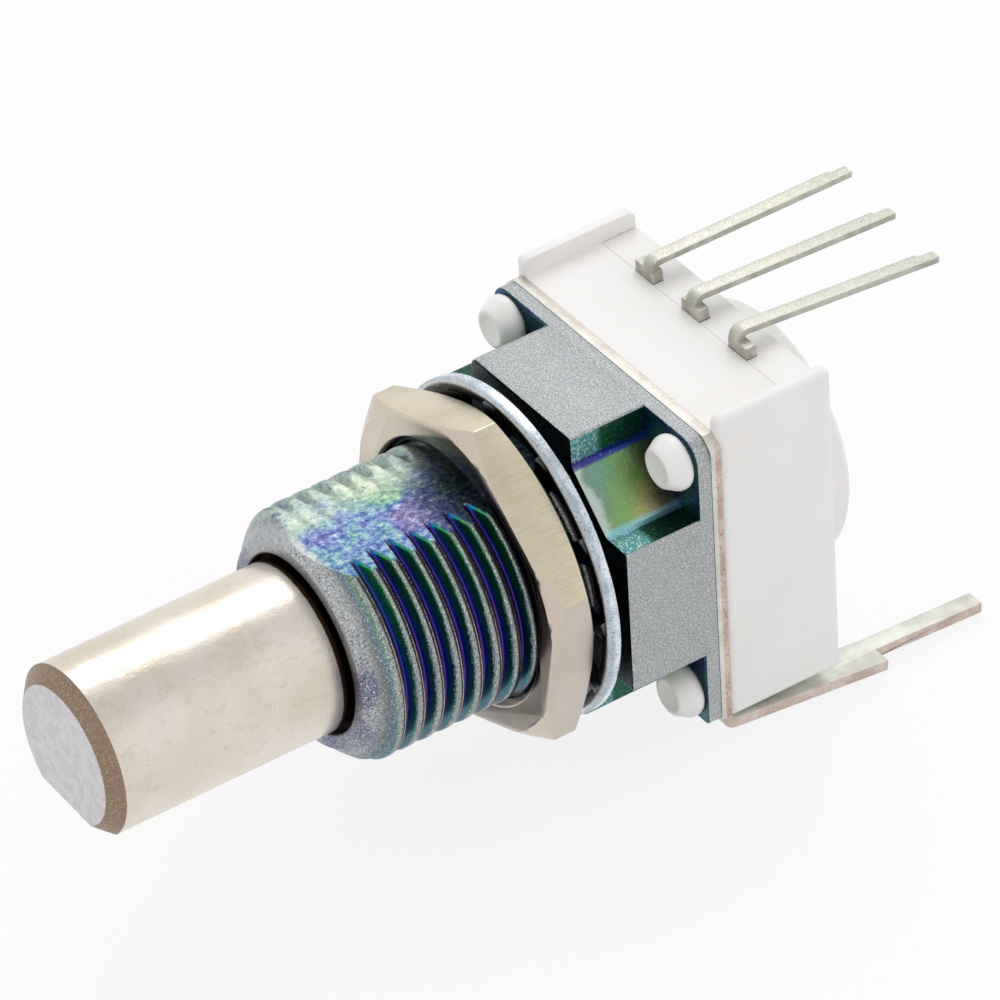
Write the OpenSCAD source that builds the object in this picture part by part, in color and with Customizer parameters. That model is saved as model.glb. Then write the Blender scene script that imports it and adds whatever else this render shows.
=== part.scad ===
// Half-inch panel potentiometer: a turned shaft in a threaded die-cast front, a nut and lock
// washer to hold it in a panel, a grounding bracket, and a plastic housing staked on behind.
// The shaft lies along Y with its tip towards -Y. The mounting face is the plane y = 0 and the
// origin is where the shaft's axis meets it. Z is up, and X is to the right seen from the front.

/* [Shaft] */
// Diameter of the shaft
shaft_d = 6.35; // [6:0.05:6.5]
// Length from the mounting face to the tip
shaft_len = 19.05; // [17:0.05:32]
// Length of the flat, from the tip
flat_len = 4.76; // [3:0.01:4.8]
// Thickness left across the flat
flat_across = 5.3; // [4.6:0.05:5.9]
// Length of the bevel at the tip
tip_bevel_len = 0.47; // [0.2:0.01:0.8]
// Depth of the bevel at the tip
tip_bevel_depth = 0.59; // [0.2:0.01:0.9]
// Depth of the step from the shaft down to its journal in the bushing, on the radius
journal_step = 0.2; // [0.18:0.01:0.3]
// Distance of that step in front of the bushing
step_ahead = 0.1; // [0.05:0.01:0.3]
// Clockwise turn of the shaft from mid travel, as seen from the front
rest_turn = 3.5; // [-20:0.5:20]
// Whole turn of the shaft between its end stops
shaft_travel = 300; // [240:5:310]
// Length of the shaft's collar behind the retaining ring
collar_len = 0.45; // [0.3:0.05:0.7]
// Diameter of the spigot that drives the rotor
spigot_d = 3.6; // [3:0.05:4]
// Thickness across the spigot's two flats
spigot_across = 2.7; // [2.2:0.05:2.9]
// Length of the spigot inside the rotor
spigot_len = 2; // [1.4:0.05:2.1]

/* [Bushing] */
// Outer diameter of the bushing's thread, three eighths of an inch
bushing_d = 9.525; // [9.2:0.025:10]
// Length of the bushing in front of the mounting face
bushing_len = 9.525; // [8:0.025:13]
// Pitch of the thread, one thirty-second of an inch
thread_pitch = 0.79375; // [0.6:0.00625:1]
// Width of the plain lands along the top and bottom of the thread
land_w = 5; // [2.4:0.1:5.4]
// Length of the bevel round the bushing's front edge
bushing_bevel = 0.8; // [0.4:0.05:1]
// Running clearance around the shaft's journal, on the radius
bore_clearance = 0.03; // [0.02:0.005:0.06]
// Clearance around the shaft at the bushing's mouth, on the radius
mouth_clearance = 0.14; // [0.08:0.01:0.25]
// Depth of the bushing's wider mouth
mouth_depth = 0.6; // [0.3:0.05:1.2]

/* [Front casting] */
// Width and height of the body
body_w = 12.2; // [12:0.1:14]
// Depth of the block in front of the flange
block_depth = 3.08; // [2.8:0.02:4]
// Width of the block's upright and level arms
arm_w = 6; // [5.4:0.1:6.6]
// Depth of the straight walls beside each corner pocket
pocket_wall = 1.2; // [0.9:0.05:1.4]
// Thickness of the flange
flange_t = 0.55; // [0.4:0.05:0.8]
// Radius of the flange's upper corners
upper_corner_r = 0.9; // [0.3:0.05:1]
// Radius of the flange's lower corners
lower_corner_r = 0.25; // [0.1:0.05:0.8]
// Depth of the round recess behind the bearing
recess_depth = 1.73; // [1.6:0.01:2.2]
// Gap around the retaining ring in the recess behind the bearing
recess_gap = 0.5; // [0.4:0.02:0.7]

/* [Nut and lock washer] */
// Distance of the nut's flats inside the body's sides
nut_inset = 0.25; // [0:0.05:0.5]
// Thickness of the nut
nut_t = 1.9; // [1.8:0.05:3]
// Turn of the nut's corners from level
nut_turned = 19.5; // [0:0.5:60]
// Distance that the bevel circle on the nut's front face passes its flats
nut_face_over = 0.125; // [-0.3:0.005:0.25]
// Distance of the bevel circle on the nut's rear face inside its flats
nut_seat_inset = 0.25; // [0:0.01:0.4]
// Angle of the nut's bevels
nut_bevel = 28; // [20:1:35]
// Clearance between the nut and the thread's crest, on the radius
nut_clearance = 0.06; // [0.03:0.01:0.1]
// Distance that the lock washer's rim stands out beyond the body's sides
washer_over = 0.25; // [-0.2:0.05:0.3]
// Width of the washer's solid rim
washer_rim_w = 0.5; // [0.35:0.05:0.6]
// Thickness of the washer's sheet
washer_t = 0.5; // [0.4:0.02:0.6]
// Number of teeth inside the washer
tooth_count = 12; // [8:1:14]
// Width of a tooth at its root
tooth_w = 1.3; // [0.9:0.05:1.4]
// Angle that each tooth is twisted out of the sheet
tooth_twist = 16; // [10:1:24]
// Clearance between the teeth and the thread's crest, on the radius
tooth_clearance = 0.1; // [0.06:0.01:0.2]
// Gap between the mounting face and the loose washer's teeth
washer_gap = 0.36; // [0.01:0.01:0.4]
// Gap between the washer's teeth and the loose nut
nut_gap = 0.02; // [0.01:0.01:0.2]

/* [Grounding bracket] */
// Thickness of the bracket's sheet
bracket_t = 0.4; // [0.3:0.02:0.5]
// Bevel on the bracket's corners
bracket_corner = 0.45; // [0.2:0.05:0.8]
// Inner radius of the bracket's bend
bend_r = 0.3; // [0.2:0.02:0.4]
// Width of the bracket's leg
leg_w = 1.5; // [1.2:0.05:2]
// Length of the leg, from the bend to its shoulder
leg_len = 6.5; // [5.5:0.05:8]
// Angle that the leg springs away from the housing
leg_splay = 6.4; // [4:0.1:9]
// Width of the solder pin at the leg's end
leg_pin_w = 0.72; // [0.5:0.02:1]
// Length of the solder pin at the leg's end
leg_pin_len = 4.7; // [3:0.1:7]
// Angle that the solder pin is set, below level
leg_pin_slope = 3; // [0:0.5:6]

/* [Housing] */
// Depth of the housing in front of the seam
front_depth = 3.29; // [3.1:0.01:4]
// Depth of the rear cover, from the seam to the rear face
cover_depth = 1.48; // [1.3:0.02:2]
// Thickness of the housing's front wall
front_wall = 0.7; // [0.5:0.05:0.8]
// Thickness of the side walls
side_wall = 0.58; // [0.45:0.01:0.65]
// Height of the side walls above the top face
rib_h = 0.7; // [0.4:0.05:1.2]
// Distance of the top face below the body's top
top_drop = 0.05; // [0:0.05:0.15]
// Distance of the underside below the body's bottom
underside_drop = 0.18; // [0.1:0.02:0.2]
// Rounding of the housing's outer edges
housing_round = 0.35; // [0.3:0.01:0.45]
// Diameter of the chamber that the rotor turns in
chamber_d = 10; // [9.8:0.1:10.3]
// Clearance around a moulded part in its seat
seat_clearance = 0.03; // [0.02:0.005:0.06]

/* [Staked posts] */
// Distance from the body's sides to a post's centre
post_inset = 1.1; // [1.05:0.01:1.2]
// Diameter of a post's shank
post_d = 1.6; // [1.3:0.05:1.6]
// Clearance around a shank in its hole, on the radius
post_clearance = 0.05; // [0.02:0.01:0.06]
// Widest diameter of a post's staked head
post_head_d = 2.06; // [1.9:0.02:2.1]
// Diameter of a staked head's flat tip
post_tip_d = 1.46; // [1.1:0.02:1.7]
// Height of a staked head in front of the flange
post_head_h = 0.96; // [0.7:0.02:1.2]
// Height of the tapered crown of a staked head
post_crown_h = 0.52; // [0.3:0.02:0.54]
// Height of the curled edge under a staked head
post_curl_h = 0.15; // [0.05:0.01:0.15]

/* [Rear boss] */
// Diameter of the round boss on the rear cover
boss_d = 9.6; // [8:0.1:10.6]
// Height of the boss behind the cover
boss_h = 1.63; // [1.5:0.01:2.4]
// Bevel on the boss's rear edge
boss_bevel = 0.25; // [0.1:0.05:0.4]
// Diameter of the dish in the boss's rear face
dish_d = 6.4; // [5:0.1:7]
// Depth of the dish in the boss's rear face
dish_depth = 0.25; // [0.1:0.01:0.3]

/* [Terminals] */
// Distance between neighbouring solder pins
pin_pitch = 2.54; // [2.3:0.02:2.7]
// Distance between neighbouring terminal blades
blade_pitch = 2.75; // [2.6:0.01:2.9]
// Distance of the middle terminal from the shaft's axis
terminal_shift = -0.2; // [-0.3:0.05:0.3]
// Width of a terminal's blade
blade_w = 1.06; // [0.9:0.02:1.2]
// Thickness of a terminal's blade
blade_t = 0.42; // [0.3:0.02:0.5]
// Height of a blade above the housing's top face
blade_rise = 0.45; // [0.3:0.05:0.55]
// Width of a solder pin
pin_w = 0.55; // [0.4:0.01:0.7]
// Thickness of a coined solder pin
pin_t = 0.24; // [0.18:0.01:0.3]
// Height of the solder pins' upper face above the housing's top face
pin_rise = 0.88; // [0.8:0.02:1.2]
// Reach of the solder pins behind the seam
pin_len = 8.6; // [6:0.1:12]
// Outer radius of the solder pins' bend
pin_bend_r = 0.42; // [0.36:0.01:0.5]
// Length of the narrow end of a solder pin
pin_end_len = 0.65; // [0.3:0.05:1]
// Width of the narrow end of a solder pin
pin_end_w = 0.43; // [0.3:0.01:0.5]
// Angle that the middle pin is bent below level
middle_pin_droop = 2.4; // [0:0.2:4]
// Angle that the right pin is bent below level
right_pin_droop = 5.2; // [0:0.2:6]

/* [Element] */
// Thickness of the element's board
board_t = 0.8; // [0.6:0.02:1]
// Margin between the board's edge and the housing's outside
board_margin = 0.75; // [0.7:0.01:0.9]
// Thickness of the printed tracks
track_t = 0.04; // [0.03:0.01:0.08]
// Mean radius of the resistive track
resistive_r = 3.75; // [3.6:0.05:3.8]
// Width of the resistive track
resistive_w = 1.1; // [0.8:0.05:1.2]
// Mean radius of the collector track
collector_r = 2.3; // [2.2:0.05:2.4]
// Width of the collector track
collector_w = 0.8; // [0.6:0.05:0.9]
// Distance of the terminal rivets below the housing's top face
rivet_drop = 1.45; // [1.35:0.05:1.55]
// Diameter of a rivet's shank
rivet_d = 0.6; // [0.5:0.02:0.7]
// Diameter of a rivet's head
rivet_head_d = 1.1; // [0.9:0.05:1.2]
// Thickness of a rivet's head
rivet_head_t = 0.2; // [0.15:0.01:0.25]
// Gap around a rivet's head
rivet_gap = 0.08; // [0.05:0.01:0.12]
// Diameter of the board's hole around the journal
board_hole_d = 3.4; // [2.8:0.1:3.6]

/* [Rotor and wiper] */
// Thickness of the rotor's disc
rotor_t = 0.9; // [0.8:0.05:0.95]
// Gap between the rotor's disc and the front wall
rotor_gap = 0.15; // [0.1:0.01:0.2]
// Gap between the rotor's rim and the chamber
rotor_rim_gap = 0.65; // [0.6:0.01:0.8]
// Diameter of the rotor's front hub
hub_d = 5.8; // [5.2:0.1:6.2]
// Diameter of the rotor's rear journal
journal_d = 2.4; // [2:0.05:2.6]
// Length of the journal behind the board
journal_len = 1.9; // [1.5:0.05:2]
// Running clearance around the journal, on the radius
journal_clearance = 0.03; // [0.02:0.005:0.06]
// Gap behind the journal's end
journal_end_gap = 0.1; // [0.05:0.01:0.2]
// Clearance around the rotor's hub in the front wall, on the radius
hub_clearance = 0.3; // [0.2:0.01:0.4]
// Half the angle that the rotor's stop lug takes
lug_half_angle = 11; // [8:1:12]
// Angle left between the stop lug and the stop at full turn
stop_gap = 2; // [1:0.5:3]
// Gap around the stop and its lug, on the radius
lug_gap = 0.12; // [0.08:0.01:0.15]
// Diameter of the pegs that hold the wiper
peg_d = 0.5; // [0.4:0.02:0.5]
// Distance between the two pegs
peg_pitch = 1; // [0.8:0.02:1]
// Height of the pegs behind the rotor
peg_h = 0.24; // [0.2:0.01:0.3]
// Thickness of the wiper's spring sheet
wiper_t = 0.12; // [0.1:0.01:0.15]
// Width of one wiper finger
finger_w = 0.22; // [0.16:0.01:0.24]
// Distance between neighbouring wiper fingers
finger_pitch = 0.34; // [0.3:0.01:0.4]
// Run of a wiper finger from its base to its contact
finger_run = 1.2; // [1:0.05:1.4]

/* [Shaft retention] */
// Thickness of the thrust washer
thrust_t = 0.3; // [0.2:0.02:0.36]
// Free height of the conical spring washer
spring_h = 0.3; // [0.24:0.01:0.36]
// Thickness of the spring washer's sheet
spring_t = 0.16; // [0.12:0.01:0.2]
// Thickness of the retaining ring
ring_t = 0.4; // [0.3:0.02:0.5]
// Depth of the shaft's groove for the retaining ring
ring_groove = 0.55; // [0.4:0.01:0.6]
// Height of the retaining ring outside the shaft
ring_proud = 0.7; // [0.5:0.05:0.8]
// Opening of the retaining ring
ring_opening = 70; // [50:5:100]
// Gap beside each piece that runs against the shaft's bearing
stack_gap = 0.02; // [0.01:0.005:0.04]
// Cord diameter of the shaft's seal ring
seal_d = 0.9; // [0.7:0.02:1]
// Distance from the bushing's end to the seal ring's groove
seal_setback = 3; // [2.8:0.1:4]
// Clearance on each side of the seal ring in its groove
seal_gap = 0.09; // [0.05:0.01:0.15]

/* [Hidden] */
$fn = 96;

// A little more than any face, for cuts that must pass right through
over = 0.5;

shaft_r = shaft_d / 2;
bushing_r = bushing_d / 2;
body_half = body_w / 2;
journal_r = shaft_r - journal_step;
thread_depth = 0.6134 * thread_pitch;
bore_r = journal_r + bore_clearance;
land_z = sqrt(pow(bushing_r, 2) - pow(land_w / 2, 2));
recess_r = journal_r + ring_proud + recess_gap;

// Stations along the shaft's axis, from front to rear
flange_y = block_depth;
bracket_y = flange_y + flange_t;
housing_y = bracket_y + bracket_t;
seam_y = housing_y + front_depth;
rear_y = seam_y + cover_depth;
boss_y = rear_y + boss_h;
board_y = seam_y - board_t;
chamber_y = housing_y + front_wall;
rotor_y = chamber_y + rotor_gap;
rotor_rear_y = rotor_y + rotor_t;
bearing_y = bracket_y - recess_depth;
thrust_y = bearing_y + stack_gap;
spring_y = thrust_y + thrust_t + stack_gap;
ring_y = spring_y + spring_h + stack_gap;
collar_y = ring_y + ring_t + stack_gap;
hub_y = collar_y + collar_len + stack_gap;

// The nut and washer, loose against the mounting face
tooth_reach = tooth_w / 2 * sin(tooth_twist) + washer_t / 2 * cos(tooth_twist);
washer_mid_y = -(washer_gap + tooth_reach);
nut_rear_y = washer_mid_y - tooth_reach - nut_gap;
nut_front_y = nut_rear_y - nut_t;
nut_bore_r = bushing_r + nut_clearance;
nut_flat_r = body_half - nut_inset;
washer_r = body_half + washer_over;
washer_rim_r = washer_r - washer_rim_w;

// Heights of the housing's faces
top_z = body_half - top_drop;
rib_top_z = top_z + rib_h;
underside_z = -(body_half + underside_drop);
inner_half = body_half - side_wall;
board_half = body_half - board_margin;
rivet_z = top_z - rivet_drop;

// The rotor's chamber and end stop
chamber_r = chamber_d / 2;
rotor_r = chamber_r - rotor_rim_gap;
lug_r = chamber_r - lug_gap;
stop_r = rotor_r + lug_gap;
stop_half_angle = 180 - shaft_travel / 2 - lug_half_angle - stop_gap;
journal_y = seam_y + journal_len;
rotor_floor_y = hub_y + spigot_len + stack_gap;
finger_rise = board_y - track_t - rotor_rear_y - wiper_t;

post_xz = body_half - post_inset;
pin_drop = [0, middle_pin_droop, right_pin_droop];

// A round bar along the axis, from y0 to y1, which may taper from r0 to r1
module rod(y0, y1, r0, r1) {
    translate([0, y0, 0])
        rotate([-90, 0, 0])
            cylinder(h = y1 - y0, r1 = r0, r2 = is_undef(r1) ? r0 : r1);
}

// A round bar with a hole through it
module ring(y0, y1, inner_r, outer_r) {
    difference() {
        rod(y0, y1, outer_r);
        rod(y0 - over, y1 + over, inner_r);
    }
}

// A stretch of a ring around the axis, centred on an angle from +X towards +Z
module arc_block(y0, y1, inner_r, outer_r, middle, half_angle) {
    translate([0, y0, 0])
        rotate([-90, 0, 0])
            rotate([0, 0, -middle - half_angle])
                rotate_extrude(angle = 2 * half_angle)
                    translate([inner_r, 0])
                        square([outer_r - inner_r, y1 - y0]);
}

// An outline drawn as seen from the front, made solid from y0 to y1
module from_front(y0, y1) {
    translate([0, y1, 0])
        rotate([90, 0, 0])
            linear_extrude(y1 - y0)
                children();
}

// An outline drawn as seen from the right, y to the right and z up, solid from x0 to x1
module from_right(x0, x1) {
    translate([x0, 0, 0])
        rotate([90, 0, 90])
            linear_extrude(x1 - x0)
                children();
}

// A rectangle between two corners
module rect(low, high) {
    translate(low)
        square(high - low);
}

// A rectangle between two corners, with round corners
module round_rect(low, high, r) {
    rect(low + [r, 0], high - [r, 0]);
    rect(low + [0, r], high - [0, r]);
    for (x = [low.x + r, high.x - r], y = [low.y + r, high.y - r])
        translate([x, y])
            circle(r);
}

// The children at each of the body's four corners, drawn for the upper right one
module four_corners() {
    for (side = [0, 1], level = [0, 1])
        mirror([side, 0, 0])
            mirror([0, 0, level])
                children();
}

// The pieces that turn with the shaft, drawn at mid travel
module turning() {
    rotate([0, rest_turn, 0])
        children();
}

module post_holes(y0, y1) {
    four_corners()
        translate([post_xz, 0, post_xz])
            rod(y0, y1, post_d / 2 + post_clearance);
}

// Shaft: a nickel-plated bar with a flat for the knob, grooves for the seal and the
// retaining ring, and a spigot with two flats that drives the rotor
module shaft() {
    tip_y = -shaft_len;
    step_y = -bushing_len - step_ahead;
    seal_y = -bushing_len + seal_setback;
    color("Wheat")
        turning()
            difference() {
                union() {
                    rod(tip_y, tip_y + tip_bevel_len, shaft_r - tip_bevel_depth, shaft_r);
                    rod(tip_y + tip_bevel_len, step_y, shaft_r);
                    rod(step_y, collar_y + collar_len, journal_r);
                    shaft_spigot();
                }
                rotate([0, 180, 0])
                    from_front(tip_y - over, tip_y + flat_len)
                        rect([-shaft_d, flat_across - shaft_r], [shaft_d, shaft_d]);
                ring(ring_y - stack_gap, collar_y, journal_r - ring_groove, shaft_d);
                ring(seal_y, seal_y + seal_d + 2 * seal_gap, journal_r - seal_d, shaft_d);
            }
}

module shaft_spigot() {
    intersection() {
        rod(collar_y, hub_y + spigot_len, spigot_d / 2);
        from_right(-shaft_d, shaft_d)
            rect([collar_y, -spigot_across / 2], [rear_y, spigot_across / 2]);
    }
}

// Front casting: the mounting block with its four corner pockets, the flange behind it and
// the threaded bushing in front, all one zinc die casting
module front_casting() {
    color("SlateGray")
        difference() {
            union() {
                from_front(0, flange_y)
                    block_outline();
                from_front(flange_y, bracket_y)
                    flange_outline();
                bushing();
            }
            rod(-bushing_len - over, bracket_y, bore_r);
            rod(-bushing_len - over, -bushing_len + mouth_depth, shaft_r + mouth_clearance);
            rod(bearing_y, bracket_y + over, recess_r);
            post_holes(0, bracket_y + over);
        }
}

// The square block less its corner pockets, each with two straight walls and a slanting one
module block_outline() {
    difference() {
        rect([-body_half, -body_half], [body_half, body_half]);
        for (side = [0, 1], level = [0, 1])
            mirror([side, 0])
                mirror([0, level])
                    polygon([
                        [arm_w / 2, body_half + over],
                        [arm_w / 2, body_half - pocket_wall],
                        [body_half - pocket_wall, arm_w / 2],
                        [body_half + over, arm_w / 2],
                        [body_half + over, body_half + over]
                    ]);
    }
}

module flange_outline() {
    intersection() {
        round_rect([-body_half, -body_w], [body_half, body_half], upper_corner_r);
        round_rect([-body_half, -body_half], [body_half, body_w], lower_corner_r);
    }
}

// The bushing, with its front edge bevelled, and flat plain lands above and below where the
// thread stops
module bushing() {
    nose_r = bushing_r - bushing_bevel;
    intersection() {
        rod(-bushing_len, over, bushing_r);
        rod(-bushing_len, over, nose_r, nose_r + bushing_len + over);
        from_front(-bushing_len, over)
            rect([-bushing_r, -land_z], [bushing_r, land_z]);
    }
}

// Hex nut: bevelled on both faces, with a countersunk hole
module hex_nut() {
    corner_r = nut_flat_r / cos(30);
    face_r = nut_flat_r + nut_face_over;
    seat_r = nut_flat_r - nut_seat_inset;
    bevel_run = nut_t / tan(nut_bevel);
    color("Tan")
        difference() {
            intersection() {
                from_front(nut_front_y, nut_rear_y)
                    rotate(nut_turned)
                        circle(r = corner_r, $fn = 6);
                rod(nut_front_y, nut_rear_y, face_r, face_r + bevel_run);
                rod(nut_front_y, nut_rear_y, seat_r + bevel_run, seat_r);
            }
            rod(nut_front_y - over, nut_rear_y + over, nut_bore_r);
            nut_countersink(nut_front_y, 1);
            nut_countersink(nut_rear_y, -1);
        }
}

// A 45 degree countersink that opens at face_y, towards the front or the rear
module nut_countersink(face_y, inward) {
    sink = thread_depth / 2;
    translate([0, face_y, 0])
        rotate([-90 * inward, 0, 0])
            translate([0, 0, -over])
                cylinder(h = sink + over, r1 = nut_bore_r + sink + over, r2 = nut_bore_r);
}

// Lock washer: a flat rim with twisted teeth inside it
module lock_washer() {
    color("LightSteelBlue") {
        ring(washer_mid_y - washer_t / 2, washer_mid_y + washer_t / 2, washer_rim_r, washer_r);
        for (i = [0 : tooth_count - 1])
            rotate([0, i * 360 / tooth_count, 0])
                lock_tooth();
    }
}

// One tooth, pointing to the axis from the right and twisted about its own length
module lock_tooth() {
    root_r = washer_rim_r + washer_t / 2;
    tip_r = bushing_r + tooth_clearance;
    translate([0, washer_mid_y, 0])
        rotate([90 + tooth_twist, 0, 0])
            linear_extrude(washer_t, center = true)
                polygon([
                    [root_r, -tooth_w / 2],
                    [root_r, tooth_w / 2],
                    [tip_r, tooth_w / 4],
                    [tip_r, -tooth_w / 4]
                ]);
}

// Grounding bracket: a plate clamped behind the flange, bent under the housing into a leg
// that narrows to a solder pin
module grounding_bracket() {
    color("BurlyWood")
        difference() {
            union() {
                from_front(bracket_y, housing_y)
                    bracket_outline();
                bracket_leg();
            }
            rod(bracket_y - over, housing_y + over, recess_r);
            post_holes(bracket_y - over, housing_y + over);
        }
}

module bracket_outline() {
    c = bracket_corner;
    polygon([
        [-body_half, c - body_half],
        [-body_half, body_half - c],
        [c - body_half, body_half],
        [body_half - c, body_half],
        [body_half, body_half - c],
        [body_half, -body_half],
        [c - body_half, -body_half]
    ]);
}

// The leg, along the body's right side: a round bend, a splayed strip and the solder pin
module bracket_leg() {
    bend_angle = 90 - leg_splay;
    outer_r = bend_r + bracket_t;
    bend_z = underside_z + bend_r - seat_clearance;
    left_x = body_half - leg_w;
    pin_y = leg_len * cos(leg_splay);
    pin_z = -leg_len * sin(leg_splay);
    from_right(left_x, body_half) {
        rect([bracket_y, bend_z], [housing_y, -post_xz]);
        translate([housing_y + bend_r, bend_z])
            intersection() {
                difference() {
                    circle(outer_r);
                    circle(bend_r);
                }
                polygon([
                    [0, 0],
                    [-2 * outer_r, 0],
                    [-2 * outer_r, -2 * outer_r],
                    [-cos(bend_angle), -sin(bend_angle)] * 3 * outer_r
                ]);
            }
    }
    translate([0, housing_y + bend_r, bend_z])
        from_right(left_x, body_half)
            rotate(-leg_splay)
                rect([0, -outer_r], [leg_len, -bend_r]);
    translate([0, housing_y + bend_r, bend_z])
        translate([0, pin_y - outer_r * sin(leg_splay), pin_z - outer_r * cos(leg_splay)])
            from_right(left_x, left_x + leg_pin_w)
                rotate(-leg_pin_slope)
                    rect([-bracket_t, 0], [leg_pin_len, bracket_t]);
}

// Housing: a moulded box, open behind, with the rotor's chamber, an end stop, a seat for
// the element's board and four posts that are staked over the flange
module housing() {
    color("WhiteSmoke") {
        difference() {
            housing_block();
            rod(housing_y - over, chamber_y + over, hub_d / 2 + hub_clearance);
            rod(chamber_y, seam_y + over, chamber_r);
            from_front(board_y, seam_y + over)
                board_outline(seat_clearance);
            from_front(board_y - track_t - rivet_head_t - rivet_gap, seam_y)
                rect([-blade_pitch - rivet_head_d, 0], [blade_pitch + rivet_head_d, board_half]);
            from_front(housing_y - over, rear_y + over)
                rect([-inner_half, top_z], [inner_half, body_w]);
            from_front(seam_y, rear_y + over)
                rect([-inner_half, side_wall + underside_z], [inner_half, body_w]);
        }
        arc_block(chamber_y - over / 2, rotor_rear_y, stop_r, chamber_r + over / 2, 90, stop_half_angle);
        four_corners()
            translate([post_xz, 0, post_xz])
                post();
    }
}

// The housing's outer form, with all its edges rounded
module housing_block() {
    intersection() {
        from_front(housing_y, rear_y)
            round_rect([-body_half, underside_z], [body_half, rib_top_z], housing_round);
        from_right(-body_half, body_half)
            round_rect([housing_y, underside_z], [rear_y, rib_top_z], housing_round);
        translate([0, 0, underside_z])
            linear_extrude(rib_top_z - underside_z)
                round_rect([-body_half, housing_y], [body_half, rear_y], housing_round);
    }
}

// One post: a shank through the bracket and the flange, and its staked head
module post() {
    head_r = post_head_d / 2;
    tip_y = flange_y - post_head_h;
    rod(tip_y, tip_y + post_crown_h, post_tip_d / 2, head_r);
    rod(tip_y + post_crown_h, flange_y - post_curl_h, head_r);
    rod(flange_y - post_curl_h, flange_y, head_r, post_d / 2);
    rod(flange_y, housing_y + front_wall, post_d / 2);
}

// The element's board, seen from the front, grown by a clearance
module board_outline(grow) {
    rect([-board_half - grow, -board_half - grow], [board_half + grow, board_half + grow]);
}

// Rear cover: closes the housing behind the board and holds the rotor's journal in its boss
module rear_cover() {
    slot_half = blade_w / 2 + seat_clearance;
    color("Snow")
        difference() {
            union() {
                from_front(seam_y, rear_y)
                    rect([seat_clearance - inner_half, underside_z + side_wall + seat_clearance],
                        [inner_half - seat_clearance, top_z]);
                rod(rear_y, boss_y - boss_bevel, boss_d / 2);
                rod(boss_y - boss_bevel, boss_y, boss_d / 2, boss_d / 2 - boss_bevel);
            }
            rod(boss_y - dish_depth, boss_y + over, dish_d / 2);
            rod(seam_y - over, journal_y + journal_end_gap, journal_d / 2 + journal_clearance);
            for (i = [-1 : 1])
                translate([terminal_shift + i * blade_pitch, 0, 0]) {
                    from_front(seam_y - over, seam_y + blade_t + seat_clearance)
                        rect([-slot_half, rivet_z - rivet_head_d], [slot_half, body_half]);
                    translate([0, 0, rivet_z])
                        rod(seam_y, seam_y + blade_t + rivet_head_t + rivet_gap, rivet_head_d / 2 + rivet_gap);
                }
        }
}

// Terminals: a blade held between the board and the cover, with a thinner solder pin that
// is bent straight back
module terminal(i) {
    blade_x = terminal_shift + i * blade_pitch;
    pin_x = terminal_shift + i * pin_pitch;
    droop = pin_drop[i + 1];
    color("Silver") {
        difference() {
            from_front(seam_y, seam_y + blade_t)
                rect([blade_x - blade_w / 2, rivet_z - rivet_head_d + seat_clearance],
                    [blade_x + blade_w / 2, top_z + blade_rise]);
            translate([blade_x, 0, rivet_z])
                rod(seam_y - over, seam_y + blade_t + over, rivet_d / 2);
        }
        translate([pin_x, seam_y, top_z + pin_rise])
            solder_pin(droop);
    }
}

// A solder pin around its bend, drawn from the outer corner of the bend
module solder_pin(droop) {
    r = pin_bend_r;
    turn = 90 + droop;
    reach = pin_len - pin_bend_r;
    shoulder = reach - pin_end_len;
    from_right(-pin_w / 2, pin_w / 2) {
        rect([0, -pin_rise], [pin_t, -r]);
        translate([r, -r]) {
            intersection() {
                difference() {
                    circle(r);
                    circle(r - pin_t);
                }
                polygon([[0, 0], [-2 * r, 0], [-2 * r, 2 * r], [-cos(turn), sin(turn)] * 3 * r]);
            }
            rotate(-droop)
                rect([0, r - pin_t], [shoulder, r]);
        }
    }
    from_right(pin_w / 2 - pin_end_w, pin_w / 2)
        translate([r, -r])
            rotate(-droop)
                rect([shoulder - pin_t, r - pin_t], [reach, r]);
}

// Terminal rivets: each joins a blade to its pad on the board
module terminal_rivets() {
    color("Gainsboro")
        for (i = [-1 : 1])
            translate([terminal_shift + i * blade_pitch, 0, rivet_z]) {
                front_y = board_y - track_t;
                rear_face_y = seam_y + blade_t;
                rod(front_y - rivet_head_t, front_y, rivet_head_d / 2);
                rod(front_y, rear_face_y, rivet_d / 2);
                rod(rear_face_y, rear_face_y + rivet_head_t, rivet_head_d / 2);
            }
}

module rivet_holes(y0, y1) {
    for (i = [-1 : 1])
        translate([terminal_shift + i * blade_pitch, 0, rivet_z])
            rod(y0, y1, rivet_d / 2);
}

// Element board: carries the printed tracks, with a hole for the rotor's journal
module element_board() {
    color("DarkSeaGreen")
        difference() {
            from_front(board_y, seam_y)
                board_outline(0);
            rod(board_y - over, seam_y + over, board_hole_d / 2);
            rivet_holes(board_y - over, seam_y + over);
        }
}

// Resistive track: a horseshoe that is open at the top, with a lead up to each end rivet
module resistive_track() {
    y0 = board_y - track_t;
    color("DimGray")
        difference() {
            union() {
                arc_block(y0, board_y, resistive_r - resistive_w / 2, resistive_r + resistive_w / 2,
                    -90, shaft_travel / 2);
                for (x = [terminal_shift - blade_pitch, terminal_shift + blade_pitch])
                    track_lead(x, sqrt(pow(resistive_r, 2) - pow(x, 2)));
            }
            rivet_holes(y0 - over, board_y + over);
        }
}

// Collector track: a full ring with a lead up through the horseshoe's gap
module collector_track() {
    y0 = board_y - track_t;
    color("LightGray")
        difference() {
            union() {
                ring(y0, board_y, collector_r - collector_w / 2, collector_r + collector_w / 2);
                track_lead(terminal_shift, collector_r);
            }
            rivet_holes(y0 - over, board_y + over);
        }
}

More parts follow.
